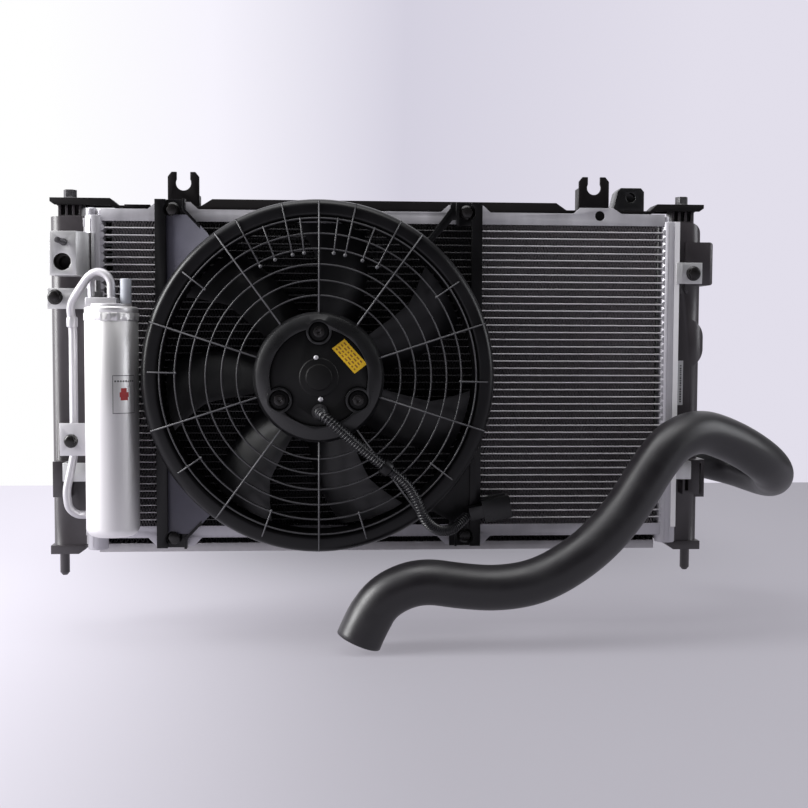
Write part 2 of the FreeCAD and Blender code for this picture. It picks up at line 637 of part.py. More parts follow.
def fan_shroud():
    """Moulded shroud: side channels, corner webs, four feet and the fan ring."""
    left_web = [
        (SHROUD_LEFT, SHROUD_LOW), (-201, SHROUD_LOW), (-201, 20.9), (-176, 47.4), (FAN_X - 60, FAN_Z),
        (-176, 331), (-201, 357.5), (-201, SHROUD_HIGH), (SHROUD_LEFT, SHROUD_HIGH),
    ]
    right_web = [
        (SHROUD_RIGHT, SHROUD_LOW), (70, SHROUD_LOW), (70, 38), (44, 52), (FAN_X + 60, FAN_Z),
        (91, 235), (91, SHROUD_HIGH), (SHROUD_RIGHT, SHROUD_HIGH),
    ]
    strut = [(38, 320), (45, 321), (72, 350), (84, 350), (84, SHROUD_HIGH), (70, SHROUD_HIGH), (69, 362)]
    webs = [front_plate(outline, SHROUD_FACE, SHROUD_BACK) for outline in (left_web, right_web, strut)]
    strut_ribs = front_plate([(41, 323.7), (43.2, 322.2), (71, 360), (69, 361.7)], STRIP_FACE, SHROUD_BACK)
    upper_edge = [
        (-203.5, SHROUD_HIGH), (-201, SHROUD_HIGH), (-201, 357.5), (-172.6, 327.5), (-174.6, 325.8),
        (-203.5, 356),
    ]
    lower_edge = [
        (-203.5, SHROUD_LOW), (-201, SHROUD_LOW), (-201, 20.9), (-172.6, 50.9), (-174.6, 52.6),
        (-203.5, 22.4),
    ]
    edge_ribs = [front_plate(edge, STRIP_FACE - 5, SHROUD_BACK) for edge in (upper_edge, lower_edge)]
    left_strip = strip_channel(SHROUD_LEFT, SHROUD_LEFT + STRIP)
    right_strip = strip_channel(SHROUD_RIGHT - STRIP, SHROUD_RIGHT)
    feet = []
    for x in FOOT_X:
        for z in FOOT_Z:
            low, high = (SHROUD_LOW, 34) if z < FAN_Z else (344, SHROUD_HIGH)
            feet.append(box(x - 11, x + 11, SHROUD_FACE, SHROUD_BACK, low, high))
            feet.append(rod_y(9.5, x, z, SHROUD_FACE, CON_FRONT))
            if x > FAN_X:
                feet.append(box(x - 11.2, x - 8.8, STRIP_FACE, SHROUD_BACK, low, high))
    shell = fuse(webs + [left_strip, right_strip, strut_ribs] + feet + edge_ribs)
    opening = rod_y(RING_OUT - 3, FAN_X, FAN_Z, -200, 0)
    holes = [rod_y(3.2, x, z, -200, 0) for x in FOOT_X for z in FOOT_Z]
    vent = front_plate([(-204, 346), (-196, 346), (-201, 353)], -60, -40)
    heads = [rod_y(8.6, x, z, -80, SHROUD_FACE) for x in FOOT_X for z in FOOT_Z]
    return cut(fuse([cut(shell, [opening]), bell_ring()]), holes + heads + [vent])


def grille_height(radius):
    """Front face of the grille at a radius: a shallow dome from the ring up to the hub."""
    return RING_FRONT - 1.6 - 9.4 * (RING_OUT - radius) / (RING_OUT - HUB_R)


def spoke(inner, outer, degrees, depth=5.0, half=1.0):
    """Radial rib of the grille."""
    near = grille_height(inner)
    far = grille_height(outer)
    corners = [
        Vector(inner, near, -half), Vector(outer, far, -half), Vector(outer, far + depth, -half),
        Vector(inner, near + depth, -half),
    ]
    rib = Part.Face(Part.makePolygon(corners + corners[:1])).extrude(Vector(0, 0, 2 * half))
    rib.rotate(Vector(0, 0, 0), Vector(0, 1, 0), -degrees)
    rib.translate(Vector(FAN_X, 0, FAN_Z))
    return rib


def grille_hoop(radius):
    """Concentric wire of the grille."""
    front = grille_height(radius) + 0.4
    back = front + 3.4
    inner = radius - 0.9
    outer = radius + 0.9
    return revolved([(inner, front), (outer, front), (outer, back), (inner, back)], FAN_X, FAN_Z)


def grille_hub():
    """Domed hub that carries the motor on three bosses."""
    profile = [
        (HUB_R, -104), (HUB_R, -109), (61.5, -113.6), (56, HUB_FRONT + 0.6), (52, HUB_FRONT),
        (48.2, HUB_FRONT), (48.2, -110), (50.7, -110), (50.7, -113.6), (55.5, -113.6), (59.5, -111.4),
        (62, -108), (62, -104),
    ]
    hub = revolved(profile, FAN_X, FAN_Z)
    bosses = []
    pockets = []
    for angle in SCREW_ANGLES:
        x, z = polar(FAN_X, FAN_Z, SCREW_CIRCLE, angle)
        bosses.append(rod_y(12.5, x, z, HUB_FRONT, -107))
        pockets.append(rod_y(10.2, x, z, HUB_FRONT, -110))
        pockets.append(rod_y(4.5, x, z, -110, -107))
    return cut(fuse([hub] + bosses), pockets)


def fan_grille():
    """Finger guard: hub, ten spokes, short ribs and six hoops."""
    parts = [grille_hub()]
    parts += [grille_hoop(radius) for radius in GRILLE_RINGS]
    parts += [spoke(HUB_R - 2.0, RING_OUT - 1.5, 18 + 36 * i) for i in range(SPOKES)]
    half_way = [36 * i - 1.6 for i in range(SPOKES) if i not in (2, 3)]
    parts += [spoke(140.0, 168.5, degrees, depth=4.2, half=0.9) for degrees in half_way]
    for offset, outer in ((6.8, 158), (12.1, RING_OUT - 1), (20.4, 158), (27.8, RING_OUT - 1)):
        for turn in (-1, 1):
            parts.append(spoke(122.6, outer, 90 + turn * offset, depth=4.2, half=0.9))
    return cut(fuse(parts), [revolved(RING_OUTSIDE, FAN_X, FAN_Z)])


def blade(index):
    """One swept blade, lofted from the hub cup outwards and trimmed at the tip circle."""
    sections = []
    for radius, chord, pitch, lead in BLADE_STATIONS:
        angle = math.radians(FIRST_BLADE + 360 / BLADES * index + lead)
        out = Vector(math.cos(angle), 0, math.sin(angle))
        along = Vector(-math.sin(angle), 0, math.cos(angle))
        lean = math.radians(pitch)
        chordwise = along * math.cos(lean) - Vector(0, 1, 0) * math.sin(lean)
        normal = along * math.sin(lean) + Vector(0, 1, 0) * math.cos(lean)
        centre = out * radius + Vector(FAN_X, -76, FAN_Z)
        camber = chord * -0.06
        corners = []
        for t, side in ((-0.5, 1), (0.0, 1), (0.5, 1), (0.5, -1), (0.0, -1), (-0.5, -1)):
            bulge = camber if t == 0.0 else 0.0
            corners.append(centre + chordwise * (t * chord) + normal * (side * 1.25 + bulge))
        sections.append(Part.makePolygon(corners + corners[:1]))
    return Part.makeLoft(sections, True, True)


def fan_blades():
    """Seven-bladed fan with its hub cup."""
    cup = rod_y(CUP_R, FAN_X, FAN_Z, -92, -61).cut(rod_y(CUP_R - 3, FAN_X, FAN_Z, -92, -64))
    boss = rod_y(12, FAN_X, FAN_Z, -61, -58)
    tip_circle = rod_y(BLADE_TIP, FAN_X, FAN_Z, -93.5, -58)
    inside = rod_y(CUP_R - 1.5, FAN_X, FAN_Z, -130, 0)
    blades = [cut(blade(i).common(tip_circle), [inside]) for i in range(BLADES)]
    ribs = []
    for i in range(6):
        rib = box(FAN_X + 11, FAN_X + CUP_R - 2, -61, -59, FAN_Z - 1, FAN_Z + 1)
        rib.rotate(Vector(FAN_X, 0, FAN_Z), Vector(0, 1, 0), 60 * i)
        ribs.append(rib)
    fan = fuse([cup, boss] + ribs + blades)
    return cut(fan, [rod_y(SHAFT_R, FAN_X, FAN_Z, -100, 0)])


# ---------------------------------------------------------------- fan motor
def motor_end_plate():
    """Front end of the motor: a face with three notches, and a flange that the screws bite into."""
    face = rod_y(MOTOR_FACE_R, FAN_X, FAN_Z, MOTOR_FRONT, -107)
    notches = [rod_y(12.9, *polar(FAN_X, FAN_Z, SCREW_CIRCLE, a), -120, -107) for a in SCREW_ANGLES]
    flange = rod_y(52, FAN_X, FAN_Z, -107, -104.5)
    steps = [(0, -112), (19.5, -112), (18.5, -113), (13, -113), (12.4, -114.6), (0, -114.6)]
    collar = revolved(steps, FAN_X, FAN_Z)
    screws = [rod_y(2.5, *polar(FAN_X, FAN_Z, SCREW_CIRCLE, a), -120, -100) for a in SCREW_ANGLES]
    grommet = rod_y(6.5, LEAD_ROUTE[0][0], LEAD_ROUTE[0][2], -113, -104)
    bearing = rod_y(8.0, FAN_X, FAN_Z, -110, -104)
    return cut(fuse([cut(face, notches), flange, collar]), screws + [grommet, bearing])


def motor_can():
    """Drawn steel can, closed at the fan end."""
    can = rod_y(41.5, FAN_X, FAN_Z, -104.5, -67)
    return cut(can, [rod_y(39.5, FAN_X, FAN_Z, -104.5, -69), rod_y(9.0, FAN_X, FAN_Z, -70, -66)])


def magnet(start):
    """Arc magnet against the wall of the can."""
    ring = cut(rod_y(39.5, FAN_X, FAN_Z, -98, -73), [rod_y(33.0, FAN_X, FAN_Z, -98, -73)])
    rim = [polar(FAN_X, FAN_Z, 80, start + turn) for turn in (-70, 0, 70)]
    return ring.common(front_plate([(FAN_X, FAN_Z)] + rim, -98, -73))


def motor_armature():
    """Laminated stack with its windings and commutator, pressed on the shaft."""
    stack = rod_y(31, FAN_X, FAN_Z, -95, -78)
    windings = rod_y(24, FAN_X, FAN_Z, -98.5, -74.5)
    commutator = rod_y(9, FAN_X, FAN_Z, -103, -98)
    return cut(fuse([stack, windings, commutator]), [rod_y(SHAFT_R, FAN_X, FAN_Z, -110, -60)])


def bushing(outer, y0, y1):
    """Sintered bearing bush."""
    return cut(rod_y(outer, FAN_X, FAN_Z, y0, y1), [rod_y(SHAFT_R + BUSH_GAP, FAN_X, FAN_Z, y0, y1)])


def motor_screw(angle):
    """Pan-head screw through its rubber bush into the motor flange."""
    x, z = polar(FAN_X, FAN_Z, SCREW_CIRCLE, angle)
    head = rod_y(5.4, x, z, -115.2, -112.6)
    return cut(fuse([head, rod_y(2.5, x, z, -112.6, -104.5)]), [hexagon_y(3.5, x, z, -115.2, -114)])


def motor_bush(angle):
    """Rubber bush in a boss of the hub."""
    x, z = polar(FAN_X, FAN_Z, SCREW_CIRCLE, angle)
    bush = fuse([rod_y(9.4, x, z, -112.6, -110), rod_y(4.5, x, z, -110, -107)])
    return cut(bush, [rod_y(2.5, x, z, -113, -106)])


def brush_card():
    """Insulating card with the two brushes that bear on the commutator."""
    return cut(rod_y(39.0, FAN_X, FAN_Z, -104.5, -103.2), [rod_y(11, FAN_X, FAN_Z, -105, -103)])


def cable_grommet():
    """Tapered rubber strain relief where the conduit leaves the motor."""
    x, y, z = LEAD_ROUTE[0]
    body = rod_y(6.5, x, z, MOTOR_FRONT, -104.5)
    taper = Part.makeCone(LEAD_R + 0.6, 8.0, 6.0, Vector(x, MOTOR_FRONT - 6.0, z), Vector(0, 1, 0))
    return cut(fuse([body, taper]), [swept(LEAD_ROUTE, LEAD_R)])


def lead_clip():
    """Clip on a spoke that holds the conduit."""
    x, y, z = LEAD_ROUTE[5]
    before = Vector(*LEAD_ROUTE[4])
    after = Vector(*LEAD_ROUTE[6])
    along = (after - before).normalize()
    base = Vector(x, y + 0.6, z) - along * 4
    inside = Part.makeCylinder(LEAD_R + 0.5, 8, base, along)
    hoop = Part.makeCylinder(LEAD_R + 2.2, 8, base, along)
    foot = box(x - 3.5, x + 3.5, y + LEAD_R + 1.2, grille_height(112.8) + 0.2, z - 3.5, z + 3.5)
    return cut(fuse([hoop, foot]), [inside, swept(LEAD_ROUTE, LEAD_R), fan_grille()])


def connector_plug():
    """Two-part electrical connector at the end of the lead."""
    x, y, z = LEAD_ROUTE[-1]
    shroud = box(14, 43, -9, 9, -11.5, 11.5)
    tail = box(0, 15, -7, 7, -6.6, 6.6)
    cavity = box(24, 43, -6.5, 6.5, -9, 9)
    latch = fuse([box(16, 40, -3, 3, 11.5, 13.6), box(16, 21, -3, 3, 11, 12)])
    pins = [box(24, 38, -1, 1, s * 4 - 1.4, s * 4 + 1.4) for s in (-1, 1)]
    body = fuse([cut(fuse([shroud, tail]), [cavity]), latch] + pins)
    body.rotate(Vector(0, 0, 0), Vector(0, 1, 0), -CONNECTOR_TILT)
    body.translate(Vector(x, y, z))
    return cut(body, [swept(LEAD_ROUTE, LEAD_R)])


# ---------------------------------------------------------------- lower hose
def lower_hose():
    """Moulded rubber hose, pushed over the outlet stub and open at its other end."""
    return cut(swept(HOSE_ROUTE, HOSE_R), [swept(HOSE_ROUTE, HOSE_BORE)])


def hose_clamp():
    """Constant-tension spring clamp with two ears."""
    x, z = OUTLET
    band = cut(rod_y(HOSE_R + 1.4, x, z, 40, 52), [rod_y(HOSE_R + 0.05, x, z, 40, 52)])
    ears = []
    for shift in (0, 1):
        low_x = x - 6 + 9 * shift
        low_y = 42 + 4 * shift
        ears.append(box(low_x, low_x + 3, low_y, low_y + 6, z + HOSE_R + 0.6, z + HOSE_R + 10))
    return fuse([band] + ears)


# ---------------------------------------------------------------- write the nodes
def write_radiator():
    """Core, tanks and crossbar."""
    tubes = radiator_tube_boxes()
    save("radiator_tubes", *tubes)
    save("radiator_fins", *radiator_fin_rows())
    save("radiator_top_plate", side_channel(RAD_TOP, RAD_TOP + SHEET, RAD_TOP, 351.5))
    save("radiator_bottom_plate", side_channel(RAD_BOTTOM - SHEET, RAD_BOTTOM, 0.4, RAD_BOTTOM))
    for side, name in ((-1, "left"), (1, "right")):
        save(name + "_header_plate", header_plate(side, tubes))
        save(name + "_tank_gasket", tank_gasket(side))
    save("left_tank", left_tank())
    save("right_tank", right_tank())
    save("tank_inserts", tank_insert(-1), tank_insert(1))
    save("upper_crossbar", upper_crossbar())
    save("crossbar_bolts", crossbar_bolt(-1), crossbar_bolt(1))
    save("left_fork_bracket", fork_bracket(-208, 389.8, 7.9, False))
    save("right_fork_bracket", fork_bracket(228, 389.8, 7.4, True))
    save("bar_block", bar_block())
    save("lower_hose", lower_hose())
    save("hose_clamp", hose_clamp())


def write_condenser():
    """Condenser, its brackets and the receiver-drier."""
    tubes = condenser_tube_boxes()
    save("condenser_tubes", *tubes)
    save("condenser_fins", *condenser_fin_rows())
    save("left_condenser_header", header_pipe(LEFT_HEADER_X, 8.4, 352, tubes))
    right_header = fuse([header_pipe(RIGHT_HEADER_X, 12, 351, tubes), right_header_strip()])
    save("right_condenser_header", right_header)
    caps = [header_cap(LEFT_HEADER_X - 4, 5.5, 352, 360), header_cap(LEFT_HEADER_X + 6, 4.2, 352, 358.5)]
    save("header_caps", *caps, header_cap(RIGHT_HEADER_X - 5, 5.0, 351, 357.5))
    save("condenser_top_plate", condenser_top_plate())
    save("condenser_bottom_plate", condenser_bottom_plate())
    save("left_upper_bracket", upper_bracket(-1, 342, 334.3, 256.5, 277.6, 268.5))
    save("right_upper_bracket", upper_bracket(1, 337, 327.7, 286.4, 308.6, 297.3))
    save("left_lower_bracket", lower_bracket(-1))
    save("right_lower_bracket", lower_bracket(1))
    seats = ((-334.3, 268.5), (327.7, 297.3))
    clamp_bolt = flange_bolt_y(-315.7, 123, -66, 4.6, flats=9)
    save("bracket_bolts", clamp_bolt, *[flange_bolt_y(x, z, CON_FRONT, 15) for x, z in seats])
    save("ac_connection_block", ac_connection_block())
    free_end = rod_y(3.0, AC_STUD[0], AC_STUD[1], -70 - AC_STUD_LENGTH, -70)
    save("ac_block_stud", fuse([free_end, rod_y(AC_STUD_ROOT, AC_STUD[0], AC_STUD[1], -70, -58)]))
    save("drier_bottle", drier_bottle())
    save("drier_head", drier_head())
    bag = rod_z(DRIER_R - 2.2, DRIER_X, DRIER_Y, 90, 190)
    save("drier_desiccant", bag.cut(rod_z(3.4, DRIER_X + 7.5, DRIER_Y, 90, 190)))
    save("drier_pickup_tube", rod_z(3.2, DRIER_X + 7.5, DRIER_Y, 38, DRIER_TOP + 2))
    save("drier_service_cap", rod_z(5.6, -257.6, DRIER_Y, DRIER_TOP + 3, DRIER_TOP + 28))
    stud = rod_z(3.0, -285.3, DRIER_Y, DRIER_TOP + 3, DRIER_TOP + 26)
    save("drier_stud_nut", fuse([stud, hexagon_z(9, -285.3, DRIER_Y, DRIER_TOP + 9, DRIER_TOP + 15)]))
    save("drier_pipe", drier_pipe())
    save("drier_brackets", drier_bracket(62, 78), drier_bracket(205, 221))
    save("pipe_clamp", pipe_clamp())


def write_fan():
    """Shroud, grille, motor, fan and lead."""
    save("fan_shroud", fan_shroud())
    save("fan_grille", fan_grille())
    feet = [(x, z) for x in FOOT_X for z in FOOT_Z]
    save("shroud_bolts", *[flange_bolt_y(x, z, SHROUD_FACE, 12) for x, z in feet])
    blanks = [hexagon_y(10, x, z, CON_FRONT + SHEET, CON_FRONT + 6.5) for x, z in feet]
    save("shroud_nuts", *[cut(blank, [rod_y(3.0, x, z, -60, -30)]) for blank, (x, z) in zip(blanks, feet)])
    save("fan_blades", fan_blades())
    save("motor_shaft", rod_y(SHAFT_R, FAN_X, FAN_Z, -109.5, -52))
    save("motor_armature", motor_armature())
    save("fan_nut", cut(hexagon_y(13, FAN_X, FAN_Z, -58, -53.5), [rod_y(SHAFT_R, FAN_X, FAN_Z, -60, -50)]))
    save("motor_end_plate", motor_end_plate())
    save("motor_can", motor_can())
    save("motor_magnets", magnet(90), magnet(270))
    left_brush = box(FAN_X - 17, FAN_X - 9.4, -103.2, -99, FAN_Z - 2.5, FAN_Z + 2.5)
    right_brush = box(FAN_X + 9.4, FAN_X + 17, -103.2, -99, FAN_Z - 2.5, FAN_Z + 2.5)
    save("motor_brush_card", brush_card(), left_brush, right_brush)
    save("motor_bearings", bushing(8.0, -110, -104.5), bushing(9.0, -73, -67))
    save("motor_screws", *[motor_screw(a) for a in SCREW_ANGLES])
    save("motor_bushes", *[motor_bush(a) for a in SCREW_ANGLES])
    save("cable_grommet", cable_grommet())
    save("motor_lead", swept(LEAD_ROUTE, LEAD_R))
    save("lead_clip", lead_clip())
    save("connector_plug", connector_plug())


def print_radii(name, route):
    """Bend radii of a route, for a look at how it bends."""
    print(name, "radii", " ".join("%.0f" % turn[0] for turn in corner_arcs(route)))


os.makedirs("parts", exist_ok=True)
print_radii("hose", HOSE_ROUTE)
print_radii("lead", LEAD_ROUTE)
print_radii("pipe", PIPE_ROUTE)
write_radiator()
write_condenser()
write_fan()
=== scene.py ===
import json
import math
import random

import bmesh
import bpy
from mathutils import Matrix, Vector


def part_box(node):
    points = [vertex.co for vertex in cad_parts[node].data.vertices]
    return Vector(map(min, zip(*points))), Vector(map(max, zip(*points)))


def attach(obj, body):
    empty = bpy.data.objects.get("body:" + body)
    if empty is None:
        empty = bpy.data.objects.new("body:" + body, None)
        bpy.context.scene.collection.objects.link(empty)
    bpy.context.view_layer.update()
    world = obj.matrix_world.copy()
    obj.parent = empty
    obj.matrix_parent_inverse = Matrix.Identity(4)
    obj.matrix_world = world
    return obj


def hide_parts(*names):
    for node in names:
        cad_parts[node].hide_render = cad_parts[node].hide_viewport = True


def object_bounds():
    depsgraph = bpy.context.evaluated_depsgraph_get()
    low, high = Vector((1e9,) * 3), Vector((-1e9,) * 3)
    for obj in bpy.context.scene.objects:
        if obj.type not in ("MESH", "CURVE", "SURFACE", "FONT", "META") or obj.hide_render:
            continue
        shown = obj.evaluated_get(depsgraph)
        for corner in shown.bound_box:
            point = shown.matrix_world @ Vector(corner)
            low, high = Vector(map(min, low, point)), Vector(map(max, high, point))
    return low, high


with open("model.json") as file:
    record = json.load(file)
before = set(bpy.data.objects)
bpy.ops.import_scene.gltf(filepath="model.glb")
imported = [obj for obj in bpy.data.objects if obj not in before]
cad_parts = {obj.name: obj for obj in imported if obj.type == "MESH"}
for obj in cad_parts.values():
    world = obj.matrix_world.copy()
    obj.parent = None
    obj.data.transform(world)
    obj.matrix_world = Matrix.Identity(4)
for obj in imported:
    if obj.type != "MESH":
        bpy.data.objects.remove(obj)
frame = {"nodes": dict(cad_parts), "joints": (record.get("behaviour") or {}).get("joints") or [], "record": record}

# Car cooling module: radiator, condenser, drier, electric fan and lower hose.
# Metres, in the frame of the CAD model: X across the core, Y away from the fan side, Z up.

CAD_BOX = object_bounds()
NODES = frame["nodes"]
BODY_OF = {node: body for body, nodes in frame["record"]["behaviour"]["bodies"].items() for node in nodes}
SLOT_OF = {part["node"]: part["material_slot"] for part in frame["record"]["subparts"]}
FAN = Vector(frame["joints"][0]["pos_m"])

# Camera: place, heading to the right, tilt down and roll in degrees, and lens on a 36 mm sensor
CAMERA_PLACE = (-0.05942, -1.27992, 0.22789)
CAMERA_YAW = 3.794
CAMERA_TILT = 3.167
CAMERA_ROLL = 0.227
CAMERA_LENS = 52.89

# Lower hose: radii and route, from the outlet stub to the open end
HOSE_R = 0.0230
HOSE_BORE = 0.0190
HOSE_ROUTE = (
    (0.331, 0.034, 0.095), (0.331, 0.072, 0.095), (0.344, 0.100, 0.093), (0.371, 0.116, 0.089),
    (0.401, 0.116, 0.083), (0.427, 0.101, 0.077), (0.441, 0.074, 0.072), (0.446, 0.042, 0.071),
    (0.441, 0.010, 0.077), (0.422, -0.020, 0.092), (0.394, -0.041, 0.109), (0.362, -0.057, 0.124),
    (0.328, -0.073, 0.134), (0.296, -0.087, 0.124), (0.272, -0.096, 0.097), (0.250, -0.104, 0.064),
    (0.222, -0.111, 0.031), (0.190, -0.117, 0.006), (0.152, -0.120, -0.014), (0.112, -0.121, -0.020),
    (0.074, -0.121, -0.017), (0.036, -0.121, -0.011), (0.004, -0.122, -0.022), (-0.015, -0.122, -0.042),
    (-0.027, -0.122, -0.071),
)

# Fan lead: conduit radius and route, from the motor to the connector
LEAD_R = 0.0055
LEAD_ROUTE = (
    (-0.065, -0.113, 0.155), (-0.065, -0.123, 0.155), (-0.060, -0.130, 0.151), (-0.049, -0.131, 0.142),
    (-0.029, -0.127, 0.124), (0.000, -0.123, 0.101), (0.020, -0.121, 0.086), (0.031, -0.120, 0.068),
    (0.038, -0.116, 0.049), (0.052, -0.102, 0.035), (0.068, -0.084, 0.032), (0.080, -0.071, 0.039),
    (0.089, -0.067, 0.047),
)

# Condenser, fan and grille
CON_TUBES = 41
CON_TUBE = 0.0015
LEFT_HEADER_X = -0.2945
RIGHT_HEADER_X = 0.3030
HEADER_R = 0.0105
CON_Y = -0.038
BLADES = 7
BLADE_TIP = 0.153
FIRST_BLADE = 72.7            # degrees up from +X
BLADE_STATIONS = (            # radius, chord, pitch in degrees, lead over the root in degrees
    (0.050, 0.0480, 40.0, 0.0), (0.080, 0.0556, 33.0, 1.8), (0.115, 0.0570, 25.0, 5.0),
    (0.135, 0.0647, 22.0, 9.0), (0.168, 0.0770, 18.5, 15.5),
)
CUP_R = 0.057
RING_OUT = 0.1755
RING_IN = 0.158
HUB_R = 0.0645
SPOKES = 10
GRILLE_RINGS = (0.0805, 0.0954, 0.1111, 0.1265, 0.1414, 0.1565)

# Rows of folded fins: how many, height of a row, length of a wave and thickness of the sheet
CONDENSER_ROWS = {"count": 42, "height": 0.0060, "wave": 0.0030, "sheet": 0.00032}
RADIATOR_ROWS = {"count": 38, "height": 0.0072, "wave": 0.0056, "sheet": 0.00040}
# Collar round a condenser tube: distance back from its tip, half height and half depth
COLLAR = ((0.0045, 0.0034, 0.0086), (0.0014, 0.0028, 0.0087), (0.0, 0.0012, 0.0083))

# Painted shade of the shroud on the cores: where it ends to each side of the fan's axis, and where it ends in
# depth
SHROUD_SHADE_SIDE = (0.160, 0.169)
SHROUD_SHADE_DEPTH = (-0.004, 0.006)

# Finger guard: place of its rim, rise to the hub, ribs half-way round and ribs at the top
GUARD_RIM = -0.1026
GUARD_RISE = 0.0094
HALF_RIB = (0.1398, 0.1687)
HALF_RIB_KNOB = 0.1407
TOP_RIB = 0.1222
TOP_RIB_KNOB = 0.1226
TOP_RIBS = ((6.8, 0.158), (12.1, RING_OUT - 0.001), (20.4, 0.158), (27.8, RING_OUT - 0.001))

# Left corner webs: left edge, right edge, and the height where the right edge turns and its slope there
WEB_LEFT = -0.2208
WEB_RIGHT = -0.1762
WEB_TURN = 0.1418
WEB_SLOPE = 0.943
WEB_BACK = -0.0519
WEB_FRONT = -0.0522

# Floor's own light at its left and right, and the middle and depth of the shade behind the object
FLOOR_GLOW = (0.80, 0.29)
SHADE_MIDDLE = 0.08
SHADE_DEPTH = 0.70


# ---------------------------------------------------------------- materials
MATERIALS = {}


def node_of(tree, kind, **values):
    """A shader node with its properties set."""
    made = tree.nodes.new("ShaderNode" + kind)
    for key, value in values.items():
        setattr(made, key, value)
    return made


def preset(node, values):
    """Set the unlinked inputs of a node."""
    for key, value in values.items():
        node.inputs[key].default_value = value


def ranged(tree, source, span, reach=(0.0, 1.0), smooth=True):
    """A socket's values taken from one range to another, smoothly or in proportion."""
    made = node_of(tree, "MapRange", interpolation_type="SMOOTHSTEP" if smooth else "LINEAR")
    preset(made, {"From Min": span[0], "From Max": span[1], "To Min": reach[0], "To Max": reach[1]})
    tree.links.new(source, made.inputs["Value"])
    return made.outputs["Result"]


def worked(tree, operation, *values):
    """Result of an operation on sockets and plain numbers."""
    made = node_of(tree, "Math", operation=operation)
    for place, value in enumerate(values):
        if isinstance(value, float):
            made.inputs[place].default_value = value
        else:
            tree.links.new(value, made.inputs[place])
    return made.outputs["Value"]


def shroud_shaded(tree, place, ramp, share):
    """Painted shade: colour taken down between the shroud's side channels, where the shroud shades the core.

    The painted shade stays in the front half: the back face of the radiator keeps its own colour.
    """
    shift = node_of(tree, "VectorMath", operation="SUBTRACT")
    shift.inputs[1].default_value = FAN
    tree.links.new(place.outputs["Object"], shift.inputs[0])
    parts = node_of(tree, "SeparateXYZ")
    tree.links.new(shift.outputs["Vector"], parts.inputs["Vector"])
    away = worked(tree, "ABSOLUTE", parts.outputs["X"])
    edge = ranged(tree, away, SHROUD_SHADE_SIDE, (share, 1.0))
    depth = ranged(tree, parts.outputs["Y"], [y - FAN.y for y in SHROUD_SHADE_DEPTH])
    scaled = node_of(tree, "VectorMath", operation="SCALE")
    tree.links.new(ramp.outputs["Color"], scaled.inputs[0])
    tree.links.new(worked(tree, "MAXIMUM", edge, depth), scaled.inputs["Scale"])
    return scaled.outputs["Vector"]


def surface(name, colour, roughness, metallic=0.0, grain=900.0, grain_depth=0.00002, mottle=14.0,
            spread=0.12, rough_spread=0.06, stretch=(1, 1, 1), sheen=0.0, tint=None, specular=0.5,
            shroud_shade=None):
    """Principled material: fine grain as bump, and slow changes of colour and roughness over the part."""
    made = bpy.data.materials.new(name)
    made.use_nodes = True
    tree = made.node_tree
    shader = tree.nodes["Principled BSDF"]
    preset(shader, {"Metallic": metallic, "Sheen Weight": sheen, "Specular IOR Level": specular})
    place = node_of(tree, "TexCoord")
    mapping = node_of(tree, "Mapping")
    preset(mapping, {"Scale": stretch})
    tree.links.new(place.outputs["Object"], mapping.inputs["Vector"])
    slow = node_of(tree, "TexNoise")
    preset(slow, {"Scale": mottle, "Detail": 6.0, "Roughness": 0.62})
    fine = node_of(tree, "TexNoise")
    preset(fine, {"Scale": grain, "Detail": 3.0})
    for texture in (slow, fine):
        tree.links.new(mapping.outputs["Vector"], texture.inputs["Vector"])
    ramp = node_of(tree, "ValToRGB")
    ramp.color_ramp.elements[0].position = 0.30
    ramp.color_ramp.elements[0].color = (*[c * (1 - spread) for c in colour], 1)
    ramp.color_ramp.elements[1].position = 0.72
    ramp.color_ramp.elements[1].color = (*[min(1, c * (1 + spread)) for c in tint or colour], 1)
    tree.links.new(slow.outputs["Fac"], ramp.inputs["Fac"])
    # Painted shade of the shroud on the cores, where a share is given
    if shroud_shade is None:
        tree.links.new(ramp.outputs["Color"], shader.inputs["Base Color"])
    else:
        tree.links.new(shroud_shaded(tree, place, ramp, shroud_shade), shader.inputs["Base Color"])
    limits = (max(0.05, roughness - rough_spread), min(1.0, roughness + rough_spread))
    rough = ranged(tree, slow.outputs["Fac"], (0.3, 0.7), limits, smooth=False)
    tree.links.new(rough, shader.inputs["Roughness"])
    bump = node_of(tree, "Bump")
    preset(bump, {"Strength": 0.6, "Distance": grain_depth})
    tree.links.new(fine.outputs["Fac"], bump.inputs["Height"])
    tree.links.new(bump.outputs["Normal"], shader.inputs["Normal"])
    MATERIALS[name] = made
    return made


surface("core_aluminium", (0.46, 0.45, 0.46), 0.50, 0.6, grain=700, grain_depth=0.00003, mottle=30,
        spread=0.10, tint=(0.50, 0.49, 0.50))
# Painted shade: the condenser fins are bare aluminium, coloured dark for the light trapped between the louvres,
# with painted shade of the shroud as well
surface("condenser_fin", (0.175, 0.160, 0.168), 0.55, 0.5, grain=600, mottle=8, spread=0.14,
        tint=(0.195, 0.180, 0.192), shroud_shade=0.13)
# Painted shade: the radiator's bare aluminium fins and tubes are coloured near black for the shade deep in the
# core, with painted shade of the shroud as well
surface("radiator_fin", (0.030, 0.028, 0.030), 0.60, 0.3, grain=600, mottle=8, spread=0.14,
        shroud_shade=0.3)
# Condenser tubes, with painted shade of the shroud between its side channels
surface("tube_aluminium", (0.54, 0.53, 0.54), 0.46, 0.35, grain=600, mottle=60, spread=0.10,
        shroud_shade=0.16)
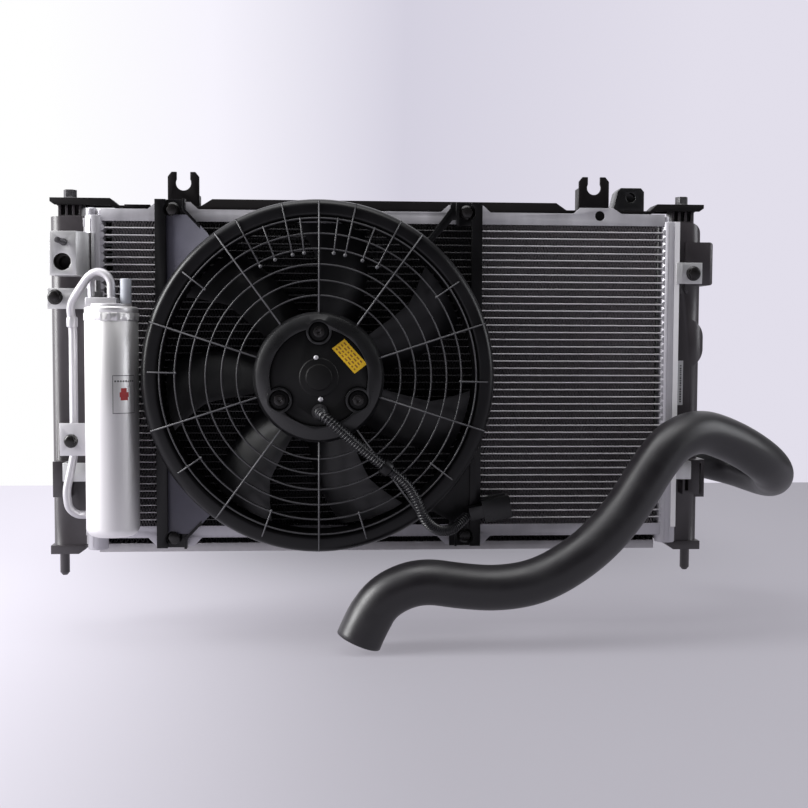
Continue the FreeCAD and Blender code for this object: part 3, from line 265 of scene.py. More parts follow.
# Radiator tubes: painted shade, near black like the radiator fins
surface("radiator_tube", (0.10, 0.10, 0.11), 0.50, 0.3, grain=600, mottle=60, spread=0.10, shroud_shade=0.2)
surface("bare_aluminium", (0.56, 0.55, 0.57), 0.46, 0.55, grain=420, grain_depth=0.00004, mottle=35,
        spread=0.07, rough_spread=0.10, stretch=(1, 1, 0.25))
surface("header_aluminium", (0.47, 0.46, 0.49), 0.44, 0.5, grain=420, grain_depth=0.00005, mottle=50,
        spread=0.10, rough_spread=0.10, stretch=(1, 1, 0.25))
# Painted highlight: a far lighter copy of the header aluminium for its flat edge strip
surface("lit_strip_aluminium", (0.86, 0.85, 0.86), 0.44, 0.3, grain=420, grain_depth=0.00004, mottle=45,
        spread=0.08, stretch=(1, 1, 0.2))
surface("cut_aluminium", (0.60, 0.60, 0.60), 0.42, 0.6, grain_depth=0.00004, mottle=50, spread=0.06,
        stretch=(0.3, 1, 1))
surface("drawn_aluminium", (0.80, 0.79, 0.79), 0.46, 0.85, grain_depth=0.00003, mottle=26, spread=0.06,
        rough_spread=0.08, stretch=(1, 1, 0.06))
# Tank plastic lighter than the fan's black plastic: partly its own dark grey, partly painted reflection of the
# bright wall
surface("tank_plastic", (0.0300, 0.0255, 0.0285), 0.38, grain=1500, grain_depth=0.00004, mottle=10,
        spread=0.22, tint=(0.0400, 0.0345, 0.0385), specular=0.70)
surface("fan_plastic", (0.0034, 0.0032, 0.0038), 0.33, grain=1300, grain_depth=0.00004, mottle=12,
        spread=0.25, rough_spread=0.09, tint=(0.0048, 0.0046, 0.0054), specular=0.30)
# Painted highlights: hoops and spokes are the guard's black plastic made lighter, the spokes lightest, for the
# light they catch
surface("highlit_hoop_plastic", (0.040, 0.039, 0.043), 0.34, mottle=40, spread=0.3)
surface("highlit_spoke_plastic", (0.085, 0.084, 0.090), 0.34, mottle=40, spread=0.3)
# Painted reflection: the webs are the shroud's black plastic, made lighter and lilac for the bright room they
# reflect
surface("lit_web_plastic", (0.0480, 0.0460, 0.0680), 0.42, grain=1300, mottle=12, spread=0.25,
        tint=(0.0640, 0.0620, 0.0900), specular=0.6)
surface("blade_plastic", (0.0050, 0.0048, 0.0058), 0.36, grain=1100, spread=0.2, specular=0.45)
surface("bar_steel", (0.0050, 0.0040, 0.0044), 0.50, grain=500, grain_depth=0.00005, mottle=18,
        spread=0.25, specular=0.16)
surface("motor_steel", (0.0026, 0.0026, 0.0027), 0.46, grain=1100, grain_depth=0.00004, mottle=16,
        spread=0.22, specular=0.25)
surface("dark_bolt", (0.0075, 0.0065, 0.0065), 0.30, 0.1, grain=1600, mottle=220, spread=0.30)
surface("bolt_steel", (0.090, 0.088, 0.092), 0.40, 0.7, grain=1600, mottle=220, spread=0.30)
surface("rubber", (0.0064, 0.0048, 0.0070), 0.40, grain=1900, grain_depth=0.00006, mottle=22, spread=0.25,
        rough_spread=0.08, sheen=0.03, tint=(0.0056, 0.0051, 0.0064), specular=0.62)
surface("brass", (0.70, 0.55, 0.28), 0.32, 1.0, mottle=120)
surface("ferrite", (0.05, 0.05, 0.05), 0.7, 0.3, mottle=200)
surface("desiccant", (0.62, 0.58, 0.48), 0.85, grain=500, grain_depth=0.0002, mottle=90)
surface("connector", (0.0060, 0.0060, 0.0066), 0.30, grain=1600, mottle=30)
surface("cap_plastic", (0.42, 0.44, 0.48), 0.42, mottle=60, spread=0.10)
surface("conduit", (0.014, 0.014, 0.016), 0.28, grain=1400, mottle=50, spread=0.2)
# Painted shade for the bore of the block's port and the shadow gap beside it
surface("painted_shade", (0.030, 0.026, 0.023), 0.60, mottle=90)
surface("label_yellow", (0.66, 0.41, 0.012), 0.42, grain=1200, grain_depth=0.00001, mottle=90)
surface("label_white", (0.52, 0.52, 0.53), 0.5, grain=1200, grain_depth=0.00001, mottle=90, spread=0.05)
surface("print_dark", (0.05, 0.05, 0.05), 0.5, grain=1200, grain_depth=0.00001, mottle=90)
surface("print_orange", (0.22, 0.09, 0.01), 0.5, grain=1200, grain_depth=0.00001, mottle=90)
surface("print_red", (0.36, 0.03, 0.03), 0.5, grain=1200, grain_depth=0.00001, mottle=90)
NODE_MATERIAL = {
    "bar_block": "connector", "fan_grille": "connector", "motor_screws": "dark_bolt",
    "motor_bushes": "motor_steel",
    "radiator_tubes": "radiator_tube", "condenser_tubes": "tube_aluminium",
    "drier_bottle": "drawn_aluminium",
    "ac_connection_block": "cut_aluminium", "left_upper_bracket": "cut_aluminium",
    "right_upper_bracket": "cut_aluminium", "left_lower_bracket": "cut_aluminium",
    "right_lower_bracket": "cut_aluminium", "fan_blades": "blade_plastic",
    "shroud_bolts": "dark_bolt", "bracket_bolts": "dark_bolt", "left_condenser_header": "header_aluminium",
    "right_condenser_header": "header_aluminium", "header_caps": "header_aluminium",
    "condenser_top_plate": "header_aluminium", "condenser_bottom_plate": "header_aluminium",
}


# ---------------------------------------------------------------- pieces
def finish_piece(piece, body, material, smooth=35.0):
    """Give a new piece its material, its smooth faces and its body."""
    for one in material if isinstance(material, (list, tuple)) else [material]:
        piece.data.materials.append(one)
    piece.data.shade_smooth()
    piece.data.set_sharp_from_angle(angle=math.radians(smooth))
    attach(piece, body)


def add_mesh(name, vertices, faces):
    """Object made from points and faces."""
    mesh = bpy.data.meshes.new(name)
    mesh.from_pydata([tuple(v) for v in vertices], [], faces)
    mesh.validate()
    mesh.update()
    made = bpy.data.objects.new(name, mesh)
    bpy.context.scene.collection.objects.link(made)
    return made


def from_bmesh(name, bm):
    """Object made from a bmesh, with its faces turned outwards."""
    bmesh.ops.recalc_face_normals(bm, faces=bm.faces)
    mesh = bpy.data.meshes.new(name)
    bm.to_mesh(mesh)
    bm.free()
    made = bpy.data.objects.new(name, mesh)
    bpy.context.scene.collection.objects.link(made)
    return made


def put(name, bm, slot, *finishes, smooth=35.0):
    """Piece on the root made from a bmesh, with its materials; the slot argument is not used."""
    piece = from_bmesh(name, bm)
    finish_piece(piece, "root", [MATERIALS[finish] for finish in finishes], smooth)
    return piece


def add_block(bm, low, high, material=0):
    """A block in a bmesh, between two corners."""
    middle = [(a + b) / 2 for a, b in zip(low, high)]
    size = [abs(b - a) for a, b in zip(low, high)]
    matrix = Matrix.Translation(middle) @ Matrix.Diagonal((*size, 1))
    corners = bmesh.ops.create_cube(bm, size=1.0, matrix=matrix)["verts"]
    for face in {f for v in corners for f in v.link_faces}:
        face.material_index = material
    return corners


def lathe(bm, profile, centre, axis="Y", segments=72, closed=False):
    """Turn a profile of (radius, place along the axis) about an axis through the centre."""
    rings = []
    for radius, along in profile:
        ring = []
        for k in range(segments):
            angle = 2 * math.pi * k / segments
            a, b = radius * math.cos(angle), radius * math.sin(angle)
            if axis == "Y":
                place = (centre[0] + a, along, centre[1] + b)
            else:
                place = (centre[0] + a, centre[1] + b, along)
            ring.append(bm.verts.new(place))
        rings.append(ring)
    pairs = list(zip(rings, rings[1:])) + ([(rings[-1], rings[0])] if closed else [])
    for one, two in pairs:
        for k in range(segments):
            bm.faces.new((one[k], one[(k + 1) % segments], two[(k + 1) % segments], two[k]))
    if not closed:
        bm.faces.new(rings[0])
        bm.faces.new(rings[-1])


def bevelled_edges(bm, width, angle=32.0, segments=2):
    """Round every edge sharper than the angle."""
    sharp = [e for e in bm.edges if len(e.link_faces) == 2 and e.calc_face_angle() > math.radians(angle)]
    bmesh.ops.bevel(bm, geom=sharp, offset=width, offset_type="OFFSET", segments=segments, profile=0.5,
                    affect="EDGES", clamp_overlap=True)


def softened(node, width, paint=None):
    """A copy of a CAD node with rounded edges, which stands for it; paint picks faces to darken with painted
    shade.
    """
    bm = bmesh.new()
    bm.from_mesh(NODES[node].data)
    bmesh.ops.remove_doubles(bm, verts=bm.verts, dist=2e-6)
    bmesh.ops.dissolve_limit(bm, angle_limit=math.radians(0.6), verts=bm.verts, edges=bm.edges)
    bevelled_edges(bm, width)
    for face in bm.faces:
        face.material_index = int(bool(paint) and paint(face.calc_center_median()))
    piece = from_bmesh(node + "_finish", bm)
    chosen = MATERIALS[NODE_MATERIAL.get(node, SLOT_OF[node])]
    finish_piece(piece, BODY_OF[node], [chosen, MATERIALS["painted_shade"]])
    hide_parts(node)
    return piece


# ---------------------------------------------------------------- camera and cords
def set_camera():
    """Camera at the viewing angle of the reference view."""
    yaw, tilt, roll = (math.radians(a) for a in (CAMERA_YAW, CAMERA_TILT, CAMERA_ROLL))
    ahead = Vector((math.sin(yaw) * math.cos(tilt), math.cos(yaw) * math.cos(tilt), -math.sin(tilt)))
    right = ahead.cross(Vector((0, 0, 1))).normalized()
    up = right.cross(ahead)
    right, up = math.cos(roll) * right + math.sin(roll) * up, math.cos(roll) * up - math.sin(roll) * right
    data = bpy.data.cameras.new("camera")
    data.lens = CAMERA_LENS
    data.sensor_width = 36.0
    camera = bpy.data.objects.new("camera", data)
    turn = Matrix((right, up, -ahead)).transposed().to_4x4()
    camera.matrix_world = Matrix.Translation(CAMERA_PLACE) @ turn
    bpy.context.scene.collection.objects.link(camera)
    bpy.context.scene.camera = camera


def centreline(name, route, resolution):
    """Points of the smooth line whose control points are the route."""
    curve = bpy.data.curves.new(name, "CURVE")
    curve.dimensions = "3D"
    curve.resolution_u = resolution
    spline = curve.splines.new("NURBS")
    spline.points.add(len(route) - 1)
    for point, place in zip(spline.points, route):
        point.co = (*place, 1)
    spline.order_u = 3
    spline.use_endpoint_u = True
    holder = bpy.data.objects.new(name, curve)
    bpy.context.scene.collection.objects.link(holder)
    mesh = bpy.data.meshes.new_from_object(holder)
    points = [v.co.copy() for v in mesh.vertices]
    bpy.data.objects.remove(holder)
    bpy.data.meshes.remove(mesh)
    return points


class Path:
    """A line with a frame that doesn't twist, read at any distance along it."""

    def __init__(self, points):
        self.points = points
        self.at = [0.0]
        for a, b in zip(points, points[1:]):
            self.at.append(self.at[-1] + (b - a).length)
        self.length = self.at[-1]
        tangents = []
        for i in range(len(points)):
            before, after = points[max(0, i - 1)], points[min(len(points) - 1, i + 1)]
            tangents.append((after - before).normalized())
        side = tangents[0].orthogonal().normalized()
        self.tangents, self.sides = tangents, []
        for tangent in tangents:
            side = (side - side.dot(tangent) * tangent).normalized()
            self.sides.append(side)

    def read(self, distance):
        """Point, tangent and sideways direction at a distance."""
        distance = min(max(distance, 0.0), self.length)
        i = max(k for k, a in enumerate(self.at) if a <= distance + 1e-12)
        i = min(i, len(self.points) - 2)
        t = (distance - self.at[i]) / (self.at[i + 1] - self.at[i])
        tangent = self.tangents[i].lerp(self.tangents[i + 1], t).normalized()
        side = self.sides[i].lerp(self.sides[i + 1], t).normalized()
        return self.points[i].lerp(self.points[i + 1], t), tangent, side


def tube(name, path, profile, segments, hollow):
    """Round skin along a path; the profile is (distance, radius), and a hollow one closes on itself."""
    vertices, faces = [], []
    for distance, radius in profile:
        point, tangent, side = path.read(distance)
        other = tangent.cross(side)
        for k in range(segments):
            angle = 2 * math.pi * k / segments
            vertices.append(point + radius * (math.cos(angle) * side + math.sin(angle) * other))
    count = len(profile)
    for i in range(count if hollow else count - 1):
        for k in range(segments):
            a, b = i * segments + k, i * segments + (k + 1) % segments
            c, d = ((i + 1) % count) * segments + (k + 1) % segments, ((i + 1) % count) * segments + k
            faces.append((a, d, c, b))
    if not hollow:
        faces.append(tuple(range(segments)))
        faces.append(tuple(range((count - 1) * segments, count * segments))[::-1])
    made = add_mesh(name, vertices, faces)
    bm = bmesh.new()
    bm.from_mesh(made.data)
    bmesh.ops.recalc_face_normals(bm, faces=bm.faces)
    bm.to_mesh(made.data)
    bm.free()
    return made


def lower_hose():
    """Moulded hose with a wall, rounded ends and a slightly raised cuff at each end."""
    path = Path(centreline("hose_line", HOSE_ROUTE, 16))
    step = 0.005
    length = path.length
    outside = []
    cuff_rise, cuff_length, cuff_ramp = 0.0004, 0.034, 0.004
    count = int(length / step)
    for i in range(count + 1):
        distance = length * i / count
        from_end = min(distance, length - distance)
        cuff = cuff_rise * min(1.0, max(0.0, (cuff_length - from_end) / cuff_ramp))
        outside.append((distance, HOSE_R - 0.0005 + cuff))
    lip = 0.0012
    outside[0] = (lip, outside[1][1])
    outside[-1] = (length - lip, outside[-2][1])
    end_lip = [(length - 0.0004, HOSE_R - 0.0006), (length, HOSE_R - 0.0016), (length, HOSE_BORE + 0.0008),
               (length - 0.0008, HOSE_BORE)]
    inside = [(length * (1 - i / 80), HOSE_BORE) for i in range(1, 80)]
    start_lip = [(0.0008, HOSE_BORE), (0.0, HOSE_BORE + 0.0008), (0.0, HOSE_R - 0.0016),
                 (0.0004, HOSE_R - 0.0006)]
    hose = tube("hose", path, outside + end_lip + inside + start_lip, 48, True)
    finish_piece(hose, "root", MATERIALS["rubber"], smooth=60)
    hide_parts("lower_hose")


def motor_lead():
    """Corrugated conduit from the motor to the connector."""
    path = Path(centreline("lead_line", LEAD_ROUTE, 16))
    pitch = 0.0030
    wave = ((0.00, 0.0), (0.14, 0.85), (0.22, 1.0), (0.40, 1.0), (0.48, 0.85), (0.62, 0.0))
    profile = []
    turns = int(path.length / pitch)
    groove = 0.0014
    for i in range(turns):
        for part, height in wave:
            profile.append(((i + part) * pitch, LEAD_R - groove + groove * height))
    lead = tube("lead_conduit", path, profile, 28, False)
    finish_piece(lead, "root", MATERIALS["conduit"], smooth=40)
    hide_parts("motor_lead")


# ---------------------------------------------------------------- cores
def fin_rows(name, node, rows, material, louvres=False):
    """Folded fin strips, one in each row of the node; with louvres, a sheet in each closes the view."""
    low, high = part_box(node)
    pitch = (high.z - low.z - rows["height"]) / (rows["count"] - 1)
    vertices, faces = [], []
    half_waves = int((high.x - low.x) / (rows["wave"] / 2))
    step = (high.x - low.x) / half_waves
    for r in range(rows["count"]):
        bottom = low.z + r * pitch
        top = bottom + rows["height"]
        base = len(vertices)
        for i in range(half_waves + 1):
            x = low.x + i * step
            z = bottom if i % 2 == 0 else top
            shift = rows["sheet"] / 2
            for y in (low.y + 0.0002, high.y - 0.0002):
                vertices.append((x - shift, y, z))
                vertices.append((x + shift, y, z))
        for i in range(half_waves):
            a, b = base + 4 * i, base + 4 * (i + 1)
            faces.append((a, a + 1, b + 1, b))
            faces.append((a + 2, b + 2, b + 3, a + 3))
            faces.append((a, b, b + 2, a + 2))
            faces.append((a + 1, a + 3, b + 3, b + 1))
        last = base + 4 * half_waves
        faces.append((base, base + 2, base + 3, base + 1))
        faces.append((last, last + 1, last + 3, last + 2))
    if louvres:
        for r in range(rows["count"]):
            bottom = low.z + r * pitch
            base = len(vertices)
            for y in (-0.0004, 0.0004):
                for x, z in ((low.x, bottom), (high.x, bottom), (high.x, bottom + rows["height"]),
                             (low.x, bottom + rows["height"])):
                    vertices.append((x, y, z))
            for quad in ((0, 1, 2, 3), (7, 6, 5, 4), (0, 4, 5, 1), (1, 5, 6, 2), (2, 6, 7, 3), (3, 7, 4, 0)):
                faces.append(tuple(base + k for k in quad))
    fins = add_mesh(name, vertices, faces)
    finish_piece(fins, "root", MATERIALS[material], smooth=20)
    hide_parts(node)


def tube_collars(name, header_x, inward, reach, node):
    """Brazed collar where each condenser tube enters a header pipe."""
    low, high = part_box("condenser_tubes")
    bm = bmesh.new()
    for i in range(CON_TUBES):
        z = low.z + CON_TUBE / 2 + i * (high.z - low.z - CON_TUBE) / (CON_TUBES - 1)
        rings = []
        for back, half_z, half_y in COLLAR:
            x = header_x + inward * (reach - back)
            middle = (low.y + high.y) / 2
            corners = ((-half_y, -half_z), (half_y, -half_z), (half_y, half_z), (-half_y, half_z))
            rings.append([bm.verts.new((x, middle + y, z + dz)) for y, dz in corners])
        skin(bm, rings)
    put(name, bm, SLOT_OF[node], "header_aluminium")


def header_pipe(name, node, x, strip):
    """Header pipe with two pressed seams down its front, and a flat edge strip on the right-hand one in lighter
    aluminium, a painted highlight.
    """
    low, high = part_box(node)
    y = CON_Y
    bm = bmesh.new()
    profile = [
        (HEADER_R - 0.0016, low.z + 0.0005), (HEADER_R - 0.0006, low.z), (HEADER_R, low.z + 0.0010),
        (HEADER_R, high.z - 0.0010), (HEADER_R - 0.0006, high.z), (0.0010, high.z),
        (0.0010, high.z - 0.0020), (HEADER_R - 0.0016, high.z - 0.0020),
    ]
    lathe(bm, profile, (x, y), axis="Z", segments=64, closed=True)
    for across in (-0.0032, 0.0018):
        front = y - math.sqrt(HEADER_R ** 2 - across ** 2)
        add_block(bm, (x + across - 0.0004, front - 0.0003, low.z + 0.004),
                  (x + across + 0.0004, front + 0.0010, high.z - 0.004))
    if strip:
        # Edge strip in lighter aluminium as a painted highlight
        add_block(bm, (x + 0.0035, -0.0485, 0.029), (x + 0.0088, -0.0465, high.z), 1)
    pipe = put(name, bm, SLOT_OF[node], "header_aluminium", "lit_strip_aluminium")
    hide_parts(node)


def condenser_tube_strips():
    """Flat tubes with rounded front and back edges."""
    low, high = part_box("condenser_tubes")
    half = CON_TUBE / 2
    bm = bmesh.new()
    for i in range(CON_TUBES):
        z = low.z + half + i * (high.z - low.z - CON_TUBE) / (CON_TUBES - 1)
        rings = []
        for x in (low.x, high.x):
            ring = []
            for k in range(16):
                angle = 2 * math.pi * (k + 0.5) / 16
                end = low.y + half if math.cos(angle) < 0 else high.y - half
                ring.append(bm.verts.new((x, end + half * math.cos(angle), z + half * math.sin(angle))))
            rings.append(ring)
        skin(bm, rings)
    strips = put("condenser_tube_strips", bm, "core_aluminium", "tube_aluminium", smooth=50)
    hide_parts("condenser_tubes")


def skin(bm, rings, material=0):
    """Closed skin over a stack of rings with the same number of points."""
    count = len(rings[0])
    made = [bm.faces.new(rings[0]), bm.faces.new(rings[-1])]
    for one, two in zip(rings, rings[1:]):
        for k in range(count):
            made.append(bm.faces.new((one[k], one[(k + 1) % count], two[(k + 1) % count], two[k])))
    for face in made:
        face.material_index = material


def threaded_rod(bm, start, axis, length, radius, pitch):
    """Rod with a helical thread from its start to its end, along Z or backwards along Y."""
    depth = 0.61 * pitch
    rows = int(length / (pitch / 4))
    rings = []
    for i in range(rows + 1):
        along = length * i / rows
        fade = min(1.0, (length - along) / pitch, along / pitch)
        ring = []
        for k in range(24):
            angle = 2 * math.pi * k / 24
            turn = (along / pitch - k / 24) % 1.0
            r = radius - depth * fade * abs(2 * turn - 1) if along < length else radius - depth
            a, b = r * math.cos(angle), r * math.sin(angle)
            spot = (a, b, along) if axis == "Z" else (a, -along, b)
            ring.append(bm.verts.new([s + c for s, c in zip(start, spot)]))
        rings.append(ring)
    skin(bm, rings)


# ---------------------------------------------------------------- fan
def blade_station(radius):
    """Chord, pitch and lead of a blade at a radius."""
    for near, far in zip(BLADE_STATIONS, BLADE_STATIONS[1:]):
        if radius <= far[0]:
            break
    t = (radius - near[0]) / (far[0] - near[0])
    return [a + t * (b - a) for a, b in zip(near[1:], far[1:])]


def blade_ring(bm, index, radius):
    """One closed section of a blade, wrapped round the fan's axis."""
    chord, pitch, lead = blade_station(radius)
    middle = math.radians(FIRST_BLADE + 360 / BLADES * index + lead)
    pitch = math.radians(pitch)
    around = [(-0.5 + k / 14, 1) for k in range(15)] + [(0.5 - k / 14, -1) for k in range(15)]
    ring = []
    for t, side in around:
        thick = side * 0.00125 * min(1.0, 0.25 + (0.5 - abs(t)) / 0.05)
        height = thick - 0.06 * chord * (1 - 4 * t * t)
        across = t * chord * math.cos(pitch) + height * math.sin(pitch)
        deep = FAN.y - t * chord * math.sin(pitch) + height * math.cos(pitch)
        angle = middle + across / radius
        ring.append(bm.verts.new((FAN.x + radius * math.cos(angle), deep, FAN.z + radius * math.sin(angle))))
    return ring


def fan_rotor():
    """Seven smooth blades on their hub cup."""
    bm = bmesh.new()
    radii = [CUP_R - 0.0015 + (BLADE_TIP - CUP_R + 0.0015) * i / 18 for i in range(19)]
    for index in range(BLADES):
        skin(bm, [blade_ring(bm, index, radius) for radius in radii])
    profile = [
        (CUP_R, -0.092), (CUP_R, -0.0635), (CUP_R - 0.0012, -0.0615), (CUP_R - 0.003, -0.061),
        (0.012, -0.061), (0.012, -0.058), (0.004, -0.058), (0.004, -0.064), (CUP_R - 0.003, -0.064),
        (CUP_R - 0.003, -0.092),
    ]
    lathe(bm, profile, (FAN.x, FAN.z), segments=96, closed=True)
    for i in range(6):
        low, high = (FAN.x + 0.011, -0.061, FAN.z - 0.001), (FAN.x + CUP_R - 0.002, -0.059, FAN.z + 0.001)
        corners = add_block(bm, low, high)
        turn = Matrix.Rotation(math.radians(60 * i), 3, "Y")
        bmesh.ops.rotate(bm, verts=corners, cent=(FAN.x, 0, FAN.z), matrix=turn)
    rotor = from_bmesh("fan_rotor", bm)
    finish_piece(rotor, "fan", MATERIALS["blade_plastic"], smooth=50)
    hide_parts("fan_blades")


def grille_height(radius):
    """Front face of the grille at a radius: a shallow dome from the ring up to the hub."""
    return GUARD_RIM - GUARD_RISE * (RING_OUT - radius) / (RING_OUT - HUB_R)


def fan_point(radius, degrees, y):
    """Point at a radius and an angle about the fan's axis."""
    angle = math.radians(degrees)
    return Vector((FAN.x + radius * math.cos(angle), y, FAN.z + radius * math.sin(angle)))


def rounded_rib(bm, inner, outer, degrees, half, material):
    """Rounded crest of a radial rib, with a small knob at its inner end if it is a short one."""
    stops = [(inner, 0.4), (inner + 0.0008, 1.0), (outer - 0.0008, 1.0), (outer, 0.4)]
    rings = []
    for radius, share in stops:
        middle = fan_point(radius, degrees, grille_height(radius) + 0.0010)
        across = fan_point(1.0, degrees + 90, 0) - fan_point(0.0, 0, 0)
        ring = []
        for k in range(10):
            angle = 2 * math.pi * k / 10
            side = across * (half * share * math.cos(angle))
            ring.append(bm.verts.new(middle + side + Vector((0, 0.0014 * share * math.sin(angle), 0))))
        rings.append(ring)
    skin(bm, rings, material)


def knob(bm, place, radius, material):
    """Small rounded moulding mark."""
    made = bmesh.ops.create_uvsphere(bm, u_segments=12, v_segments=8, radius=radius)["verts"]
    for vertex in made:
        vertex.co = vertex.co + place
    for face in {f for v in made for f in v.link_faces}:
        face.material_index = material


def grille_wires():
    """Rounded fronts of the hoops, spokes and short ribs of the finger guard, in lighter copies of its black
    plastic as painted highlights.
    """
    bm = bmesh.new()
    for radius in GRILLE_RINGS:
        front = grille_height(radius) + 0.0014
        turns = [2 * math.pi * k / 10 for k in range(10)]
        profile = [(radius + 0.00082 * math.cos(t), front + 0.0014 * math.sin(t)) for t in turns]
        lathe(bm, profile, (FAN.x, FAN.z), segments=160, closed=True)
    for i in range(SPOKES):
        rounded_rib(bm, HUB_R - 0.001, RING_OUT - 0.0012, 18 + 36 * i, 0.00095, 1)
        if i not in (2, 3):
            angle = 36 * i - 1.6
            rounded_rib(bm, *HALF_RIB, angle, 0.00085, 1)
            knob(bm, fan_point(HALF_RIB_KNOB, angle, grille_height(HALF_RIB_KNOB) + 0.0008), 0.0013, 1)
    for offset, outer in TOP_RIBS:
        for turn in (-1, 1):
            angle = 90 + turn * offset
            rounded_rib(bm, TOP_RIB, outer, angle, 0.00085, 0)
            knob(bm, fan_point(TOP_RIB_KNOB, angle, grille_height(TOP_RIB_KNOB) + 0.0006), 0.0019, 1)
    wires = put("grille_wires", bm, "fan_plastic", "highlit_hoop_plastic", "highlit_spoke_plastic", smooth=60)


def ring_lip():
    """Smooth skin over the rolled front of the fan ring."""
    proud = 0.0003
    inner, outer, front = RING_IN - proud, RING_OUT + proud, -0.101 - proud
    outer_turn, inner_turn = -0.0925, -0.0965
    profile = [(outer - 0.002, -0.0505), (outer, -0.0595), (outer, -0.0905)]
    for k in range(1, 9):
        angle = math.pi / 2 * k / 8
        radius = outer - 0.008 + 0.008 * math.cos(angle)
        profile.append((radius, outer_turn + (front - outer_turn) * math.sin(angle)))
    for k in range(9):
        angle = math.pi / 2 * k / 8
        radius = inner + 0.0045 - 0.0045 * math.sin(angle)
        profile.append((radius, inner_turn + (front - inner_turn) * math.cos(angle)))
    profile += [
        (inner, -0.0575), (inner + 0.0012, -0.0575), (inner + 0.0012, -0.0950), (outer - 0.0085, -0.0995),
        (outer - 0.0012, -0.0905), (outer - 0.0012, -0.0595), (outer - 0.0030, -0.0505),
    ]
    bm = bmesh.new()
    lathe(bm, profile, (FAN.x, FAN.z), segments=200, closed=True)
    put("ring_lip", bm, "fan_plastic", "fan_plastic", smooth=40)


def shroud_webs():
    """Dished faces of the two left-hand corner webs, rising from the side channel to the ring."""
    bm = bmesh.new()
    for turn in (1, -1):
        rings = []
        for i in range(25):
            z = FAN.z + turn * (0.0850 + 0.0780 * i / 24)
            ring_x = FAN.x - math.sqrt(RING_OUT ** 2 - (z - FAN.z) ** 2) + 0.0015
            edge_x = WEB_RIGHT - WEB_SLOPE * max(0.0, abs(z - FAN.z) - WEB_TURN)
            right = min(ring_x, edge_x)
            columns = [WEB_LEFT + (right - WEB_LEFT) * k / 10 for k in range(11)]
            front = [(x, WEB_FRONT - 0.0135 * ((x - WEB_LEFT) / 0.0450) ** 1.3) for x in columns]
            corners = front + [(right, WEB_BACK), (WEB_LEFT, WEB_BACK)]
            rings.append([bm.verts.new((x, y, z)) for x, y in corners])
        skin(bm, rings)
    # Webs in a lighter copy of the shroud plastic, a painted reflection
    put("shroud_web_faces", bm, "fan_plastic", "lit_web_plastic", smooth=40)


# ---------------------------------------------------------------- drier
def drier_can():
    """Drawn can with a rounded base, a rolled seam under its top and a plain label."""
    low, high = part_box("drier_bottle")
    centre = ((low.x + high.x) / 2, (low.y + high.y) / 2)
    r = (high.x - low.x) / 2
    bm = bmesh.new()
    profile = [(0.0005, low.z)]
    for k in range(9):
        angle = math.pi / 2 * k / 8
        profile.append((r - 0.009 + 0.009 * math.sin(angle), low.z + 0.009 - 0.009 * math.cos(angle)))
    profile += [(r, low.z + 0.060), (r, low.z + 0.120), (r, high.z - 0.0150), (r - 0.0004, high.z - 0.0146),
                (r - 0.0004, high.z - 0.0138)]
    profile += [(r + 0.0005, high.z - 0.0132), (r + 0.0006, high.z - 0.0068), (r - 0.0003, high.z - 0.0060),
                (r, high.z - 0.0052), (r, high.z - 0.0022)]
    for k in range(1, 6):
        angle = math.pi / 2 * k / 5
        profile.append((r - 0.0022 + 0.0022 * math.cos(angle), high.z - 0.0022 + 0.0022 * math.sin(angle)))
    profile.append((0.0005, high.z))
    lathe(bm, profile, centre, axis="Z", segments=96)
    rng = random.Random(7)
    for vertex in bm.verts:
        if high.z - 0.0134 < vertex.co.z < high.z - 0.0066:
            push = rng.uniform(-0.0006, 0.0005)
            away = Vector((vertex.co.x - centre[0], vertex.co.y - centre[1], 0)).normalized()
            vertex.co += away * push + Vector((0, 0, rng.uniform(-0.0006, 0.0006)))
    can = put("drier_can", bm, "bare_aluminium", "drawn_aluminium", smooth=50)
    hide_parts("drier_bottle")
    label = bmesh.new()
    left, right = 11, 64
    bottom, top = low.z + 0.1240, low.z + 0.1616
    frame_lines = (
        ((left, right), (low.z + 0.1610, top)), ((left, right), (bottom, low.z + 0.1246)),
        ((left, 12.2), (bottom, top)), ((62.8, right), (bottom, top)),
    )
    for angles, heights in frame_lines:
        can_patch(label, centre, r, angles, heights, 0)
    for start in range(15, 60, 6):
        can_patch(label, centre, r, (start, start + 3.5), (low.z + 0.1550, low.z + 0.1566), 0)
    for start, end, bottom, top in ((28, 45, 0.137, 0.140), (26, 47, 0.140, 0.145), (29, 42, 0.145, 0.149)):
        can_patch(label, centre, r, (start, end), (low.z + bottom, low.z + top), 1)
    put("drier_label", label, "bare_aluminium", "print_dark", "print_red", smooth=60)


def can_patch(bm, centre, r, angles, heights, material):
    """Thin printed patch on the can, between two angles from the front and two heights."""
    under, over = -0.0003, 0.00008
    steps = max(2, int((angles[1] - angles[0]) / 4) + 1)
    columns = []
    for k in range(steps):
        angle = math.radians(angles[0] + (angles[1] - angles[0]) * k / (steps - 1))
        corners = []
        for out, z in zip((under, over, over, under), (heights[0], heights[0], heights[1], heights[1])):
            x = centre[0] + (r + out) * math.sin(angle)
            y = centre[1] - (r + out) * math.cos(angle)
            corners.append(bm.verts.new((x, y, z)))
        columns.append(corners)
    skin(bm, columns, material)


